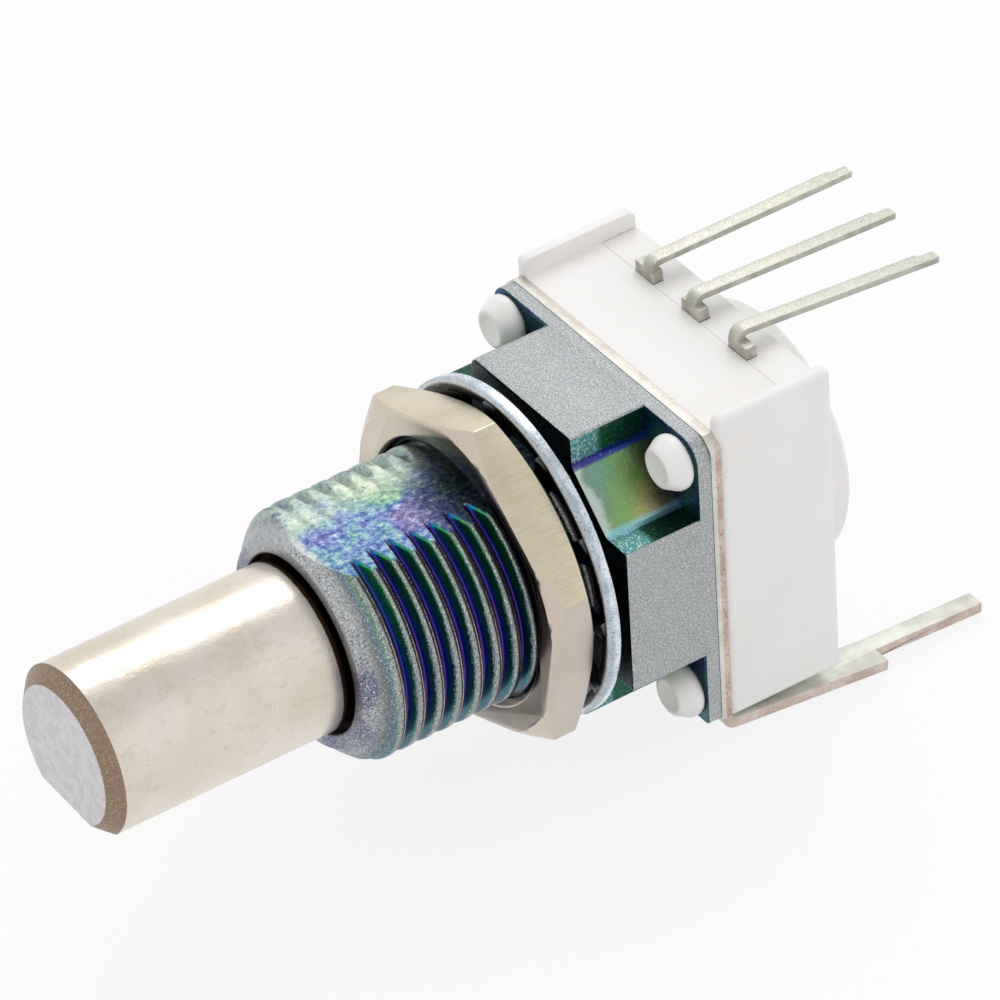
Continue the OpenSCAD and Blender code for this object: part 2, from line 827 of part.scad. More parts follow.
// A printed lead at x, from a track at z0 up to a round pad under a rivet
module track_lead(x, z0) {
    from_front(board_y - track_t, board_y) {
        rect([x - rivet_d / 2, z0], [x + rivet_d / 2, rivet_z]);
        translate([x, rivet_z])
            circle(rivet_head_d / 2 + track_t);
    }
}

// Rotor: a moulded disc with the stop lug, driven by the spigot and carried by its journal
module rotor() {
    color("DarkSlateGray")
        turning() {
            difference() {
                union() {
                    rod(hub_y, rotor_y, hub_d / 2);
                    rod(rotor_y, rotor_rear_y, rotor_r);
                    rod(rotor_rear_y, journal_y, journal_d / 2);
                }
                rod(hub_y - over, rotor_floor_y, spigot_d / 2 + seat_clearance);
            }
            rotor_drive_flats();
            arc_block(rotor_y, rotor_rear_y, rotor_r - over / 2, lug_r, -90, lug_half_angle);
            wiper_pegs(rotor_rear_y, rotor_rear_y + peg_h, peg_d / 2);
        }
}

// The two pegs that hold the wiper on the rotor
module wiper_pegs(y0, y1, r) {
    middle_z = -(resistive_r + collector_r) / 2;
    for (side = [-1, 1])
        translate([-finger_run - peg_d, 0, middle_z + side * peg_pitch / 2])
            rod(y0, y1, r);
}

// The two flats inside the rotor's bore that the spigot drives
module rotor_drive_flats() {
    flat_z = spigot_across / 2 + seat_clearance;
    intersection() {
        rod(hub_y, rotor_floor_y, (spigot_d + hub_d) / 4);
        for (level = [0, 1])
            mirror([0, 0, level])
                from_right(-spigot_d, spigot_d)
                    rect([hub_y, flat_z], [rotor_rear_y, spigot_d]);
    }
}

// Wiper: a spring stamping pegged to the rotor, with three fingers on the resistive track
// and two on the collector
module wiper() {
    base_x = -finger_run;
    low_z = -resistive_r - finger_pitch - finger_w / 2;
    high_z = -collector_r + finger_pitch / 2 + finger_w / 2;
    color("Gold")
        turning() {
            difference() {
                from_front(rotor_rear_y, rotor_rear_y + wiper_t)
                    intersection() {
                        rect([base_x - 2 * peg_d, low_z], [base_x, high_z]);
                        circle(rotor_r);
                    }
                wiper_pegs(rotor_rear_y - over, rotor_rear_y + over, peg_d / 2 + seat_clearance);
            }
            for (i = [-1 : 1])
                wiper_finger(-resistive_r + i * finger_pitch);
            for (i = [-0.5, 0.5])
                wiper_finger(-collector_r + i * finger_pitch);
        }
}

// One finger, at height z: a strip that rises from the base to a rounded contact on the track
module wiper_finger(z) {
    bead_r = wiper_t;
    slope = atan2(finger_rise - bead_r - stack_gap, finger_run);
    translate([-finger_run, rotor_rear_y, z - finger_w / 2])
        linear_extrude(finger_w) {
            rotate(slope)
                rect([0, 0], [finger_run / cos(slope), wiper_t]);
            translate([finger_run, finger_rise + wiper_t - bead_r - stack_gap])
                circle(bead_r);
        }
}

// Retaining ring: an open ring in the shaft's groove
module retaining_ring() {
    color("DarkGray")
        turning()
            arc_block(ring_y, ring_y + ring_t, journal_r - ring_groove + stack_gap,
                journal_r + ring_proud, -90, 180 - ring_opening / 2);
}

// Spring washer: a shallow cone that takes up the shaft's end play
module spring_washer() {
    inner_r = bore_r + seat_clearance;
    outer_r = journal_r + ring_proud;
    color("Peru")
        rotate([-90, 0, 0])
            rotate_extrude()
                polygon([
                    [inner_r, spring_y + spring_h - spring_t],
                    [inner_r, spring_y + spring_h],
                    [outer_r, spring_y + spring_t],
                    [outer_r, spring_y]
                ]);
}

// Thrust washer: takes the shaft's pull against the casting
module thrust_washer() {
    color("Khaki")
        ring(thrust_y, thrust_y + thrust_t, bore_r + seat_clearance, journal_r + ring_proud + seat_clearance);
}

// Shaft seal: a rubber ring in the shaft's front groove
module shaft_seal() {
    color("SaddleBrown")
        translate([0, seal_setback - bushing_len + seal_gap + seal_d / 2, 0])
            rotate([-90, 0, 0])
                rotate_extrude()
                    translate([journal_r - seal_d / 2, 0])
                        circle(d = seal_d - stack_gap);
}

shaft();
front_casting();
hex_nut();
lock_washer();
grounding_bracket();
housing();
rear_cover();
terminal(-1);  // terminal_left
terminal(0);  // terminal_middle
terminal(1);  // terminal_right
terminal_rivets();
element_board();
resistive_track();
collector_track();
rotor();
wiper();
retaining_ring();
spring_washer();
thrust_washer();
shaft_seal();
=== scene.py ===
# %% [markdown]
# # A half-inch panel potentiometer
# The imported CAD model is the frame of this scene: it says where every piece is and which body it
# moves with. Here each visible piece gets its finished shape and its finish. Sizes are written in
# millimetres, as on a drawing, and turned into Blender's metres where a mesh is made.
# +Y runs along the shaft from its tip to the rear, +Z is up and +X is to the right from the front.

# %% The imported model
import math

import bmesh
import bpy
from mathutils import Matrix, Quaternion, Vector


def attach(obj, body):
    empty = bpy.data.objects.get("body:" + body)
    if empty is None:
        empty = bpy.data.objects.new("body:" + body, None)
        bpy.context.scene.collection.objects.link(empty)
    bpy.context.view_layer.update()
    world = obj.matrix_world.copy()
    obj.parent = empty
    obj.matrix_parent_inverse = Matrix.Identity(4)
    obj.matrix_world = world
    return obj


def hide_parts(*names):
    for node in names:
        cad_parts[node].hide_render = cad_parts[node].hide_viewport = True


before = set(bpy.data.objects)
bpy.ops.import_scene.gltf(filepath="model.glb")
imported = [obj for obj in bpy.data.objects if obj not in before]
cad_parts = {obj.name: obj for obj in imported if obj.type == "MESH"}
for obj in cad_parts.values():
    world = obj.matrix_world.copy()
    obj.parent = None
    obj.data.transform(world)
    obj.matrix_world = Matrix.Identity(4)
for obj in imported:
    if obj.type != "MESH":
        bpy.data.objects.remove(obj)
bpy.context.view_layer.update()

MM = 0.001

# %% [markdown]
# ## The camera
# The lens is a long one, so the object's parallel edges stay nearly parallel. Its place was fitted
# to the known sizes of the shaft and the bushing and to the body's corners. Turning the camera
# with a direction and a small roll is easier to read than three Euler angles.

# %% Camera
LOOK_AZIMUTH, LOOK_ELEVATION, LOOK_ROLL = (math.radians(a) for a in (57.5686, 38.2630, 3.6032))
back = Vector((math.sin(LOOK_AZIMUTH) * math.cos(LOOK_ELEVATION),
               -math.cos(LOOK_AZIMUTH) * math.cos(LOOK_ELEVATION),
               math.sin(LOOK_ELEVATION)))
camera = bpy.data.objects.new("camera", bpy.data.cameras.new("camera"))
camera.data.lens, camera.data.sensor_width = 331.745, 36
camera.data.clip_start, camera.data.clip_end = 0.01, 10
camera.location = Vector((209.6654, -134.2689, 198.0549)) * MM
camera.rotation_mode = "QUATERNION"
camera.rotation_quaternion = back.to_track_quat("Z", "Y") @ Quaternion((0, 0, 1), -LOOK_ROLL)
bpy.context.scene.collection.objects.link(camera)
bpy.context.scene.camera = camera
print("camera at", [round(c, 4) for c in camera.location])

# %% [markdown]
# ## Wires and trees
# Shaders and Geometry Nodes are both graphs of nodes. A small class around a socket lets their
# arithmetic be written as ordinary Python: `1 - mask * 0.5` adds the Math nodes by itself.

# %% Wire and Tree
class Wire:
    """An output socket that can be used in sums, products and quotients, and in abs()."""

    def __init__(self, tree, node, out=0):
        self.tree, self.node, self.socket = tree, node, node.outputs[out]

    def out(self, name):
        return Wire(self.tree, self.node, name)

    def __add__(self, other):
        return self.tree.maths("ADD", self, other)

    def __sub__(self, other):
        return self.tree.maths("SUBTRACT", self, other)

    def __rsub__(self, other):
        return self.tree.maths("SUBTRACT", other, self)

    def __mul__(self, other):
        return self.tree.maths("MULTIPLY", self, other)

    def __truediv__(self, other):
        return self.tree.maths("DIVIDE", self, other)

    def __rtruediv__(self, other):
        return self.tree.maths("DIVIDE", other, self)

    def __abs__(self):
        return self.tree.maths("ABSOLUTE", self)

    __radd__, __rmul__ = __add__, __mul__


class Tree:
    """A node tree, with one method for every kind of node."""

    def __init__(self, tree):
        self.tree = tree

    def add(self, kind, settings, values, out=0):
        node = self.tree.nodes.new(kind)
        for name, setting in settings.items():
            if name == "stops":
                self.set_stops(node.color_ramp, setting)
            else:
                setattr(node, name, setting)
        for name, value in values.items():
            socket = node.inputs[name]
            if isinstance(value, Wire):
                self.tree.links.new(value.socket, socket)
            elif socket.type == "RGBA":
                socket.default_value = (*value[:3], 1)
            else:
                socket.default_value = value
        return Wire(self, node, out) if len(node.outputs) else node

    def set_stops(self, ramp, stops):
        while len(ramp.elements) < len(stops):
            ramp.elements.new(1)
        for element, (place, colour) in zip(ramp.elements, stops):
            element.position = place
            element.color = (*colour, 1)

    def maths(self, operation, *values):
        return self.add("ShaderNodeMath", {"operation": operation}, dict(enumerate(values)))

    def smooth(self, value, low, high):
        """0 where the value is at low, 1 where it is at high, and an easy slope between."""
        return self.add("ShaderNodeMapRange", {"interpolation_type": "SMOOTHSTEP"},
                        {0: value, 1: low, 2: high})


print("ready to draw node trees")

# %% [markdown]
# ## Geometry Nodes as a tool
# What repeats or follows a rule is grown by a node tree. The tree has named inputs for its sizes,
# and its last two nodes make the instances real and give them their material, so that the result
# can be kept as one plain mesh.

# %% Growing a piece
def settle(piece):
    """Makes the result of a piece's modifiers its plain mesh."""
    graph = bpy.context.evaluated_depsgraph_get()
    mesh = bpy.data.meshes.new_from_object(piece.evaluated_get(graph))
    piece.modifiers.clear()
    piece.data = mesh


def new_tree(name, inputs):
    """An empty Geometry Nodes tree with these inputs, and the node that gives their values."""
    group = bpy.data.node_groups.new(name, "GeometryNodeTree")
    group.interface.new_socket("Geometry", in_out="OUTPUT", socket_type="NodeSocketGeometry")
    for title, kind in inputs.items():
        group.interface.new_socket(title, in_out="INPUT", socket_type="NodeSocket" + kind)
    tree = Tree(group)
    return tree, tree.add("NodeGroupInput", {}, {})


def end_tree(tree, geometry, material):
    whole = tree.add("GeometryNodeRealizeInstances", {}, {0: geometry})
    finished = tree.add("GeometryNodeSetMaterial", {}, {"Geometry": whole, "Material": material})
    tree.add("NodeGroupOutput", {}, {"Geometry": finished})


def grow(name, tree, values):
    """Runs a tree on an empty mesh, with its inputs set by their identifiers, and keeps the result."""
    piece = bpy.data.objects.new(name, bpy.data.meshes.new(name))
    bpy.context.scene.collection.objects.link(piece)
    modifier = piece.modifiers.new(name, "NODES")
    modifier.node_group = tree.tree
    for item in tree.tree.interface.items_tree:
        if item.name in values:
            modifier[item.identifier] = values[item.name]
    settle(piece)
    return piece


print("ready to grow pieces")

# %% [markdown]
# ## Meshes
# A lathe turns an outline round the shaft's axis, a prism pushes an outline back from the front,
# and a copy of a CAD node is welded and cleaned so that it can be bevelled. Real edges are never
# perfectly sharp: a bevel of a few hundredths of a millimetre catches the light as they do.

# %% Mesh helpers
WELD_GAP, CAD_WELD_GAP = 0.0005, 0.002
FLAT_ANGLE, BEVEL_ANGLE, SHARP_ANGLE = (math.radians(a) for a in (0.5, 28, 30))


def tidy_mesh(piece):
    """Welds what coincides and turns all faces outwards."""
    work = bmesh.new()
    work.from_mesh(piece.data)
    bmesh.ops.remove_doubles(work, verts=work.verts, dist=WELD_GAP * MM)
    bmesh.ops.dissolve_degenerate(work, edges=work.edges, dist=WELD_GAP * MM)
    bmesh.ops.delete(work, geom=[e for e in work.edges if not e.link_faces], context="EDGES")
    bmesh.ops.recalc_face_normals(work, faces=work.faces)
    work.to_mesh(piece.data)
    work.free()


def new_piece(name, corners, faces):
    mesh = bpy.data.meshes.new(name)
    mesh.from_pydata([Vector(c) * MM for c in corners], [], faces)
    piece = bpy.data.objects.new(name, mesh)
    bpy.context.scene.collection.objects.link(piece)
    tidy_mesh(piece)
    return piece


def lathe(name, outline, steps):
    """Turns a closed outline of (radius, y) round the shaft's axis. It may touch the axis."""
    count = len(outline)
    corners = [(r * math.sin(2 * math.pi * i / steps), y, r * math.cos(2 * math.pi * i / steps))
               for i in range(steps) for r, y in outline]
    faces = [(i * count + j, i * count + (j + 1) % count,
              (i + 1) % steps * count + (j + 1) % count, (i + 1) % steps * count + j)
             for i in range(steps) for j in range(count)]
    return new_piece(name, corners, faces)


def prism(name, outline, y0, y1):
    """An outline of (x, z) seen from the front, solid from y0 to y1."""
    count = len(outline)
    corners = [(x, y, z) for y in (y0, y1) for x, z in outline]
    sides = [(i, (i + 1) % count, (i + 1) % count + count, i + count) for i in range(count)]
    return new_piece(name, corners, [tuple(range(count)), tuple(range(count, 2 * count)), *sides])


def rounded(corners, radii, steps=6):
    """An outline whose corners are rounded, each by its own radius."""
    outline = []
    for i, r in enumerate(radii):
        before, here, after = (Vector(corners[j % len(corners)]) for j in (i - 1, i, i + 1))
        to_before, to_after = (before - here).normalized(), (after - here).normalized()
        half = to_before.angle(to_after) / 2
        centre = here + (to_before + to_after).normalized() * r / math.sin(half)
        start = (here + to_before * r / math.tan(half) - centre).normalized()
        end = (here + to_after * r / math.tan(half) - centre).normalized()
        outline += [tuple(centre + start.slerp(end, k / steps) * r) for k in range(steps + 1)]
    return outline


def welded_copy(name, node):
    """A copy of a CAD node with its triangles welded and its flat faces made whole."""
    piece = bpy.data.objects.new(name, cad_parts[node].data.copy())
    bpy.context.scene.collection.objects.link(piece)
    work = bmesh.new()
    work.from_mesh(piece.data)
    bmesh.ops.remove_doubles(work, verts=work.verts, dist=CAD_WELD_GAP * MM)
    bmesh.ops.dissolve_limit(work, angle_limit=FLAT_ANGLE, verts=work.verts, edges=work.edges)
    work.to_mesh(piece.data)
    work.free()
    return piece


def shade(piece):
    """Shades a piece smooth, apart from its sharp edges."""
    piece.data.shade_smooth()
    piece.data.set_sharp_from_angle(angle=SHARP_ANGLE)


def soften(piece, width, segments=2):
    """Rounds every edge that turns by more than the bevel angle."""
    bevel = piece.modifiers.new("soft edges", "BEVEL")
    bevel.width, bevel.segments = width * MM, segments
    bevel.limit_method, bevel.angle_limit = "ANGLE", BEVEL_ANGLE
    settle(piece)
    shade(piece)


def cut(piece, *cutters):
    """Takes the cutters' shapes out of a piece and throws the cutters away."""
    for cutter in cutters:
        take = piece.modifiers.new("cut", "BOOLEAN")
        take.operation, take.solver, take.object = "DIFFERENCE", "EXACT", cutter
        settle(piece)
        bpy.data.objects.remove(cutter)


def join(name, *shells):
    """Several closed shells as one object."""
    work = bmesh.new()
    for shell in shells:
        work.from_mesh(shell.data)
        bpy.data.objects.remove(shell)
    piece = bpy.data.objects.new(name, bpy.data.meshes.new(name))
    work.to_mesh(piece.data)
    work.free()
    bpy.context.scene.collection.objects.link(piece)
    return piece


def coat(piece, finish):
    """Gives a whole piece one finish."""
    piece.data.materials.clear()
    piece.data.materials.append(finish)


print("mesh helpers ready")

# %% [markdown]
# ## Finishes
# Every finish is a Principled shader whose colour, roughness and relief come from noises on the
# Object coordinates, in millimetres. So a pattern has one scale all over the object and stays put
# when a piece turns.

# %% Finish
def srgb(red, green, blue):
    """A colour as a picture editor shows it, 0 to 255, in Blender's linear values."""
    return tuple((c / 255 / 12.92) if c < 11 else ((c / 255 + 0.055) / 1.055) ** 2.4
                 for c in (red, green, blue))


class Finish(Tree):
    """A material in the making: its tree, and the place on the piece in millimetres."""

    def __init__(self, name):
        self.material = bpy.data.materials.new(name)
        self.material.use_nodes = True
        super().__init__(self.material.node_tree)
        self.tree.nodes.clear()
        place = self.add("ShaderNodeTexCoord", {}, {}, out="Object")
        self.place = self.scaled(place, 1 / MM)
        split = self.add("ShaderNodeSeparateXYZ", {}, {0: self.place})
        self.x, self.y, self.z = split, split.out("Y"), split.out("Z")
        facing = self.add("ShaderNodeSeparateXYZ", {}, {0: place.out("Normal")})
        self.facing_x, self.facing_y, self.facing_z = facing, facing.out("Y"), facing.out("Z")

    def noise(self, grain, detail=2, rough=0.5, stretch=(1, 1, 1), shift=0):
        """A cloudy value round 0.5, in grains of about that many millimetres."""
        place = self.add("ShaderNodeMapping", {}, {
            "Vector": self.place, "Location": (shift, shift, shift), "Scale": stretch})
        return self.add("ShaderNodeTexNoise", {}, {
            "Vector": place, "Scale": 1 / grain, "Detail": detail, "Roughness": rough})

    def scaled(self, colour, times):
        """A colour or a place with its three numbers made so many times as large."""
        return self.add("ShaderNodeVectorMath", {"operation": "SCALE"}, {0: colour, "Scale": times})

    def mix(self, share, below, above):
        """The colour below where the share is 0, the one above where it is 1."""
        return self.add("ShaderNodeMix", {"data_type": "RGBA"}, {0: share, 6: below, 7: above}, out=2)

    def tones(self, value, low, high, below, above):
        """One colour where the value is at low, another where it is at high, easily mixed between."""
        return self.mix(self.smooth(value, low, high), below, above)

    def beyond(self, start, end):
        """0 at the first distance from the shaft's axis and 1 at the second, in millimetres."""
        return self.smooth(self.x * self.x + self.z * self.z, start ** 2, end ** 2)

    def ramp(self, value, *stops):
        return self.add("ShaderNodeValToRGB", {"stops": stops}, {0: value})

    def finish(self, colour, roughness, metallic, relief, depth):
        """Ends the tree. The relief's depth is in millimetres."""
        bump = self.add("ShaderNodeBump", {}, {
            "Height": relief, "Distance": depth * MM, "Strength": 1})
        shader = self.add("ShaderNodeBsdfPrincipled", {}, {
            "Base Color": colour, "Roughness": roughness, "Metallic": metallic, "Normal": bump})
        self.add("ShaderNodeOutputMaterial", {}, {"Surface": shader})
        return self.material


print("finishes can be mixed")

# %% [markdown]
# ## Passivated zinc
# The casting has a very thin skin from the bath it was dipped in, which shines in the colours of
# oil on water. Their order is always the same, from bare silver through tan, violet, blue and
# green to yellow, and depends only on the skin's thickness. A thin film shader could compute them,
# but it would change with the viewer and could not be baked. So each surface works out a thickness
# from its place, and one ramp turns every thickness into a colour.

# %% Film
def film(f, thickness):
    """The skin's colour, for a thickness from 0 to 1."""
    return f.ramp(thickness, (0.00, srgb(184, 188, 196)), (0.09, srgb(212, 194, 166)),
                  (0.18, srgb(134, 92, 100)), (0.27, srgb(72, 38, 120)), (0.36, srgb(26, 36, 148)),
                  (0.45, srgb(18, 88, 160)), (0.54, srgb(16, 122, 128)), (0.65, srgb(22, 128, 84)),
                  (0.75, srgb(104, 160, 76)), (0.86, srgb(184, 160, 108)), (1.00, srgb(150, 110, 130)))


def grey(level):
    """A plain number as a stop of a ramp."""
    return (level, level, level)


def blob(f, x, y, radius):
    """1 at a place seen from above, falling to 0 at the radius."""
    across, along = f.x - x, f.y - y
    return f.smooth(across * across + along * along, radius * radius, 0)


print("a film's colours are ready")

# %% [markdown]
# On the thread the skin is thinnest behind a crest, where a thin pale tan line along the ridge is
# a painted highlight, and it grows down the groove from violet over blue to green, under painted
# shade behind the crest and painted light deeper down. The flank that rises to the next crest is
# bare metal that sparkles. The plain land is crumpled like foil, with clouds of blue and violet.
# All of it follows one number, the phase, which runs from 0 at one crest to 1 at the next.

# %% Thread's skin
PITCH, BUSHING_FRONT, CREST_START = 0.79375, -9.525, 0.12


def thread_skin():
    f = Finish("passivated_thread")
    turn = f.maths("ARCTAN2", f.x, f.z) / (2 * math.pi)
    around = abs(turn)
    phase = f.maths("FRACT", (f.y - BUSHING_FRONT) / PITCH - turn - CREST_START + 2)
    wander, cloud = f.noise(0.5, 3, 0.6, shift=7) - 0.5, f.noise(1.3, 3, 0.6) - 0.5
    speck, crumple = f.noise(0.07, 2, 0.7), f.noise(0.22, 4, 0.7, (1, 0.75, 1), 12)

    # The groove: its film grows with the phase. Painted shade darkens it just behind a crest and
    # painted light brightens it deeper down, and the underside gets painted shade, darker and more
    # violet.
    low, high = f.smooth(around, 0.24, 0.4), f.smooth(around, 0.24, 0.12)
    grown = f.ramp(phase, (0.12, grey(0.22)), (0.50, grey(0.26)), (0.56, grey(0.31)),
                   (0.61, grey(0.38)), (0.66, grey(0.47)), (0.71, grey(0.57)))
    thickness = grown + wander * 0.16 + high * 0.09 * f.smooth(phase, 0.5, 0.62) - low * 0.05
    # painted light and shade across the groove: this ramp scales the groove's colour, less on the
    # underside
    depth = f.ramp(phase, (0.12, grey(0.12)), (0.45, grey(0.26)), (0.57, grey(0.55)), (0.66, grey(0.6)))
    groove = f.mix(low * 0.35, film(f, thickness), srgb(60, 52, 110))
    groove = f.scaled(groove, depth * (2.3 - low * 1.3))
    first = f.smooth(f.y - BUSHING_FRONT, 1.5, 1.0)
    groove = f.mix(first * 0.7, groove, f.mix(low, srgb(128, 142, 132), srgb(40, 110, 130)))

    # The plain land and the shallow threads to its left: crumpled foil under a clouded film.
    land = f.smooth(abs(f.z), 3.93, 4.02) * f.smooth(abs(f.facing_z), 0.8, 0.95)
    left = f.smooth(turn, 0.0, -0.05) * f.smooth(turn, -0.27, -0.15)
    patches = (blob(f, -0.9, -5.7, 1.5) * 0.2 - blob(f, -0.1, -6.6, 1.1) * 0.13
               - blob(f, 0.9, -4.9, 1.5) * 0.24 - blob(f, 0.6, -8.4, 1.3) * 0.08)
    foil = f.tones(crumple, 0.42, 0.58, srgb(112, 120, 132), srgb(188, 192, 190))
    clouds = film(f, 0.51 + cloud * 0.6 + (crumple - 0.5) * 0.5 + patches + left * 0.03)
    flat = f.mix(0.45, f.scaled(clouds, 1.3), foil)
    flat = f.mix(left * (0.4 + cloud * 1.4), flat, srgb(216, 219, 204))
    # painted shade in the roots of the shallow threads to the left
    root = f.smooth(abs(phase - 0.5), 0.3, 0.05) * left
    flat = f.mix(root * 0.45, flat, srgb(92, 116, 110))
    shadow = f.smooth(f.y, -5.3, -4.3) * f.smooth(f.x, -1.6, 0.4)
    flat = f.mix(shadow * 0.65, flat, srgb(26, 22, 36))
    colour = f.mix(f.maths("MAXIMUM", land, left * 0.9), groove, flat)

    # Bare metal: the flanks that face the front, and the bevel at the bushing's front end.
    nose = f.smooth(f.y + wander * 0.2, BUSHING_FRONT + 0.7, BUSHING_FRONT + 0.3)
    ragged = phase + (speck - 0.5) * 0.12 + wander * 0.12 - high * 0.07 - low * 0.09
    crest = f.smooth(ragged, 0.735, 0.785) * f.smooth(phase, 1.0, 0.97) * (1 - land) * (1 - left * 0.8)
    bare = f.maths("MAXIMUM", crest, nose)
    blasted = f.tones(cloud, -0.15, 0.12, srgb(122, 120, 150), srgb(172, 174, 178))
    # painted light: the nose is paler towards the top
    blasted = f.mix(f.smooth(f.z, 0.8, 3.2) * 0.8, blasted, srgb(190, 192, 194))
    colour = f.mix(bare * 0.88, colour, f.mix(nose, srgb(164, 168, 168), blasted))

    # Bright and dark specks wherever the surface is rough.
    uneven = f.mix(f.maths("MAXIMUM", land, left) * 0.6, speck, crumple)
    rough = f.maths("MAXIMUM", f.maths("MAXIMUM", bare, land), f.maths("MAXIMUM", left, first * 0.6))
    colour = f.mix(f.smooth(uneven, 0.56, 0.66) * rough * 0.8, colour, srgb(236, 238, 238))
    colour = f.mix(f.smooth(uneven, 0.46, 0.36) * rough * 0.7, colour, srgb(34, 38, 66))

    # A painted highlight along each ridge, a pale line between dark lines, and painted shade in the
    # bore inside the mouth.
    ridge = f.smooth(phase, 0.0, 0.03) * f.smooth(phase, 0.15, 0.12)
    ridge = ridge * (1 - land) * (1 - nose) * (1 - left * 0.7)
    line = ragged - wander * 0.1
    # painted highlight: the pale line along each crest's edge
    crest_highlight = f.smooth(line, 0.05, 0.065) * f.smooth(line, 0.11, 0.09)
    edge = f.tones(turn, 0.12, 0.2, srgb(214, 214, 232), srgb(186, 166, 142))
    colour = f.mix(ridge * 0.85, colour, f.mix(crest_highlight, srgb(54, 44, 42), edge))
    # painted shade: the bore inside the mouth is dark brown
    colour = f.mix(f.beyond(3.42, 3.36), colour, srgb(62, 42, 28))
    return f.finish(colour, 0.24 + rough * 0.2, 0.92, uneven * (0.15 + rough * 0.85), 0.03)


thread_finish = thread_skin()
print("thread's skin:", len(thread_finish.node_tree.nodes), "nodes")

# %% [markdown]
# ## The threaded bushing
# The bushing has 32 threads to the inch and a plain land along its top and its bottom. A helix
# can be a swept triangle, but its ends are hard to finish. Here a grid is rolled into a tube
# whose rows climb one pitch for each turn, so a row stays on one crest or in one root all the
# way round, and the two side edges meet again one pitch further on. Sizes that belong to the
# thread are the tree's inputs; the slopes that shape its start, its nose and its worn left side
# stay inside.

# %% Thread
CREST_R, ROOT_R, NOSE_R, LAND_Z = 4.7625, 4.29, 3.7, 4.06
THREAD_END = 0.25
ROWS_A_PITCH, COLUMNS = 18, 288


def thread_tree():
    tree, sizes = new_tree("rolled thread", {
        "Pitch": "Float", "Front": "Float", "End": "Float", "Crest radius": "Float",
        "Root radius": "Float", "Land height": "Float", "Skin": "Material"})
    pitch, front = sizes.out("Pitch"), sizes.out("Front")
    crest, root = sizes.out("Crest radius"), sizes.out("Root radius")
    pitches = math.ceil((THREAD_END - BUSHING_FRONT) / PITCH) + 1
    grid = tree.add("GeometryNodeMeshGrid", {}, {
        "Size X": 1, "Size Y": 1, "Vertices X": COLUMNS + 1, "Vertices Y": pitches * ROWS_A_PITCH + 1})
    place = tree.add("ShaderNodeSeparateXYZ", {}, {0: grid.out("UV Map")})
    turn, along = place, place.out("Y")
    y = front + pitch * (turn - 1 + along * pitches)
    y = tree.maths("MINIMUM", tree.maths("MAXIMUM", y, front), sizes.out("End"))
    phase = tree.maths("FRACT", (y - front) / pitch - turn - CREST_START + 2)
    from_crest = 0.5 - abs(phase - 0.5)
    worn_left = tree.smooth(turn, 0.55, 0.8) * tree.smooth(turn, 1.0, 0.97)
    start = (0.2 + 0.8 * tree.smooth(y - front, 0.5 * MM, 1.6 * MM)) * (1 - worn_left * 0.4)
    radius = crest - (crest - root) * start * tree.smooth(from_crest, 0.1, 0.46)
    nose = NOSE_R * MM + (crest - NOSE_R * MM) * tree.smooth(y - front, -0.4 * MM, 1.15 * MM)
    radius = tree.maths("SMOOTH_MIN", radius, nose, 0.12 * MM)
    angle = turn * (2 * math.pi)
    upright = abs(tree.maths("COSINE", angle))
    land = sizes.out("Land height") / tree.maths("MAXIMUM", upright, 0.2)
    radius = tree.maths("SMOOTH_MIN", radius, land, (0.04 + 0.3 * worn_left) * MM)
    spot = tree.add("ShaderNodeCombineXYZ", {}, {
        0: radius * tree.maths("SINE", angle), 1: y, 2: radius * tree.maths("COSINE", angle)})
    rolled = tree.add("GeometryNodeSetPosition", {}, {"Geometry": grid, "Position": spot})
    welded = tree.add("GeometryNodeMergeByDistance", {}, {
        "Geometry": rolled, "Distance": WELD_GAP * MM})
    end_tree(tree, welded, sizes.out("Skin"))
    return tree


thread = grow("thread", thread_tree(), {
    "Pitch": PITCH * MM, "Front": BUSHING_FRONT * MM, "End": THREAD_END * MM,
    "Crest radius": CREST_R * MM, "Root radius": ROOT_R * MM, "Land height": LAND_Z * MM,
    "Skin": thread_finish})
print("thread:", len(thread.data.polygons), "faces")

# %% [markdown]
# The rolled grid is open at both ends. Its two rims are extruded inwards, ring by ring, over the
# front face and down the bore, until they meet. Extruding the rims keeps one column of faces for
# each column of the thread, so nothing has to be bridged.

# %% Bore
BORE_R, MOUTH_R, MOUTH_DEPTH = 3.005, 3.315, 0.6


def close_tube(piece, front_rings, rear_rings):
    """Extrudes each open rim through rings of (radius, y) in millimetres, and welds the last ones."""
    work = bmesh.new()
    work.from_mesh(piece.data)
    open_edges = [e for e in work.edges if e.is_boundary]
    middle = (BUSHING_FRONT + THREAD_END) / 2 * MM
    for rings, at_front in ((front_rings, True), (rear_rings, False)):
        rim = [e for e in open_edges if (e.verts[0].co.y < middle) == at_front]
        for radius, y in rings:
            made = bmesh.ops.extrude_edge_only(work, edges=rim)["geom"]
            corners = {v for v in made if isinstance(v, bmesh.types.BMVert)}
            rim = [e for e in made if isinstance(e, bmesh.types.BMEdge) and set(e.verts) <= corners]
            for v in corners:
                way = Vector((v.co.x, 0, v.co.z)).normalized() * radius * MM
                v.co = (way.x, y * MM, way.z)
    work.to_mesh(piece.data)
    work.free()
    tidy_mesh(piece)


close_tube(thread,
           [(3.84, BUSHING_FRONT), (3.46, BUSHING_FRONT), (3.36, BUSHING_FRONT + 0.04),
            (MOUTH_R, BUSHING_FRONT + 0.14), (MOUTH_R, BUSHING_FRONT + MOUTH_DEPTH),
            (BORE_R, BUSHING_FRONT + MOUTH_DEPTH), (BORE_R, 0)],
           [(BORE_R, THREAD_END), (BORE_R, 0)])
thread.data.shade_smooth()
print("threaded bushing:", len(thread.data.polygons), "faces")

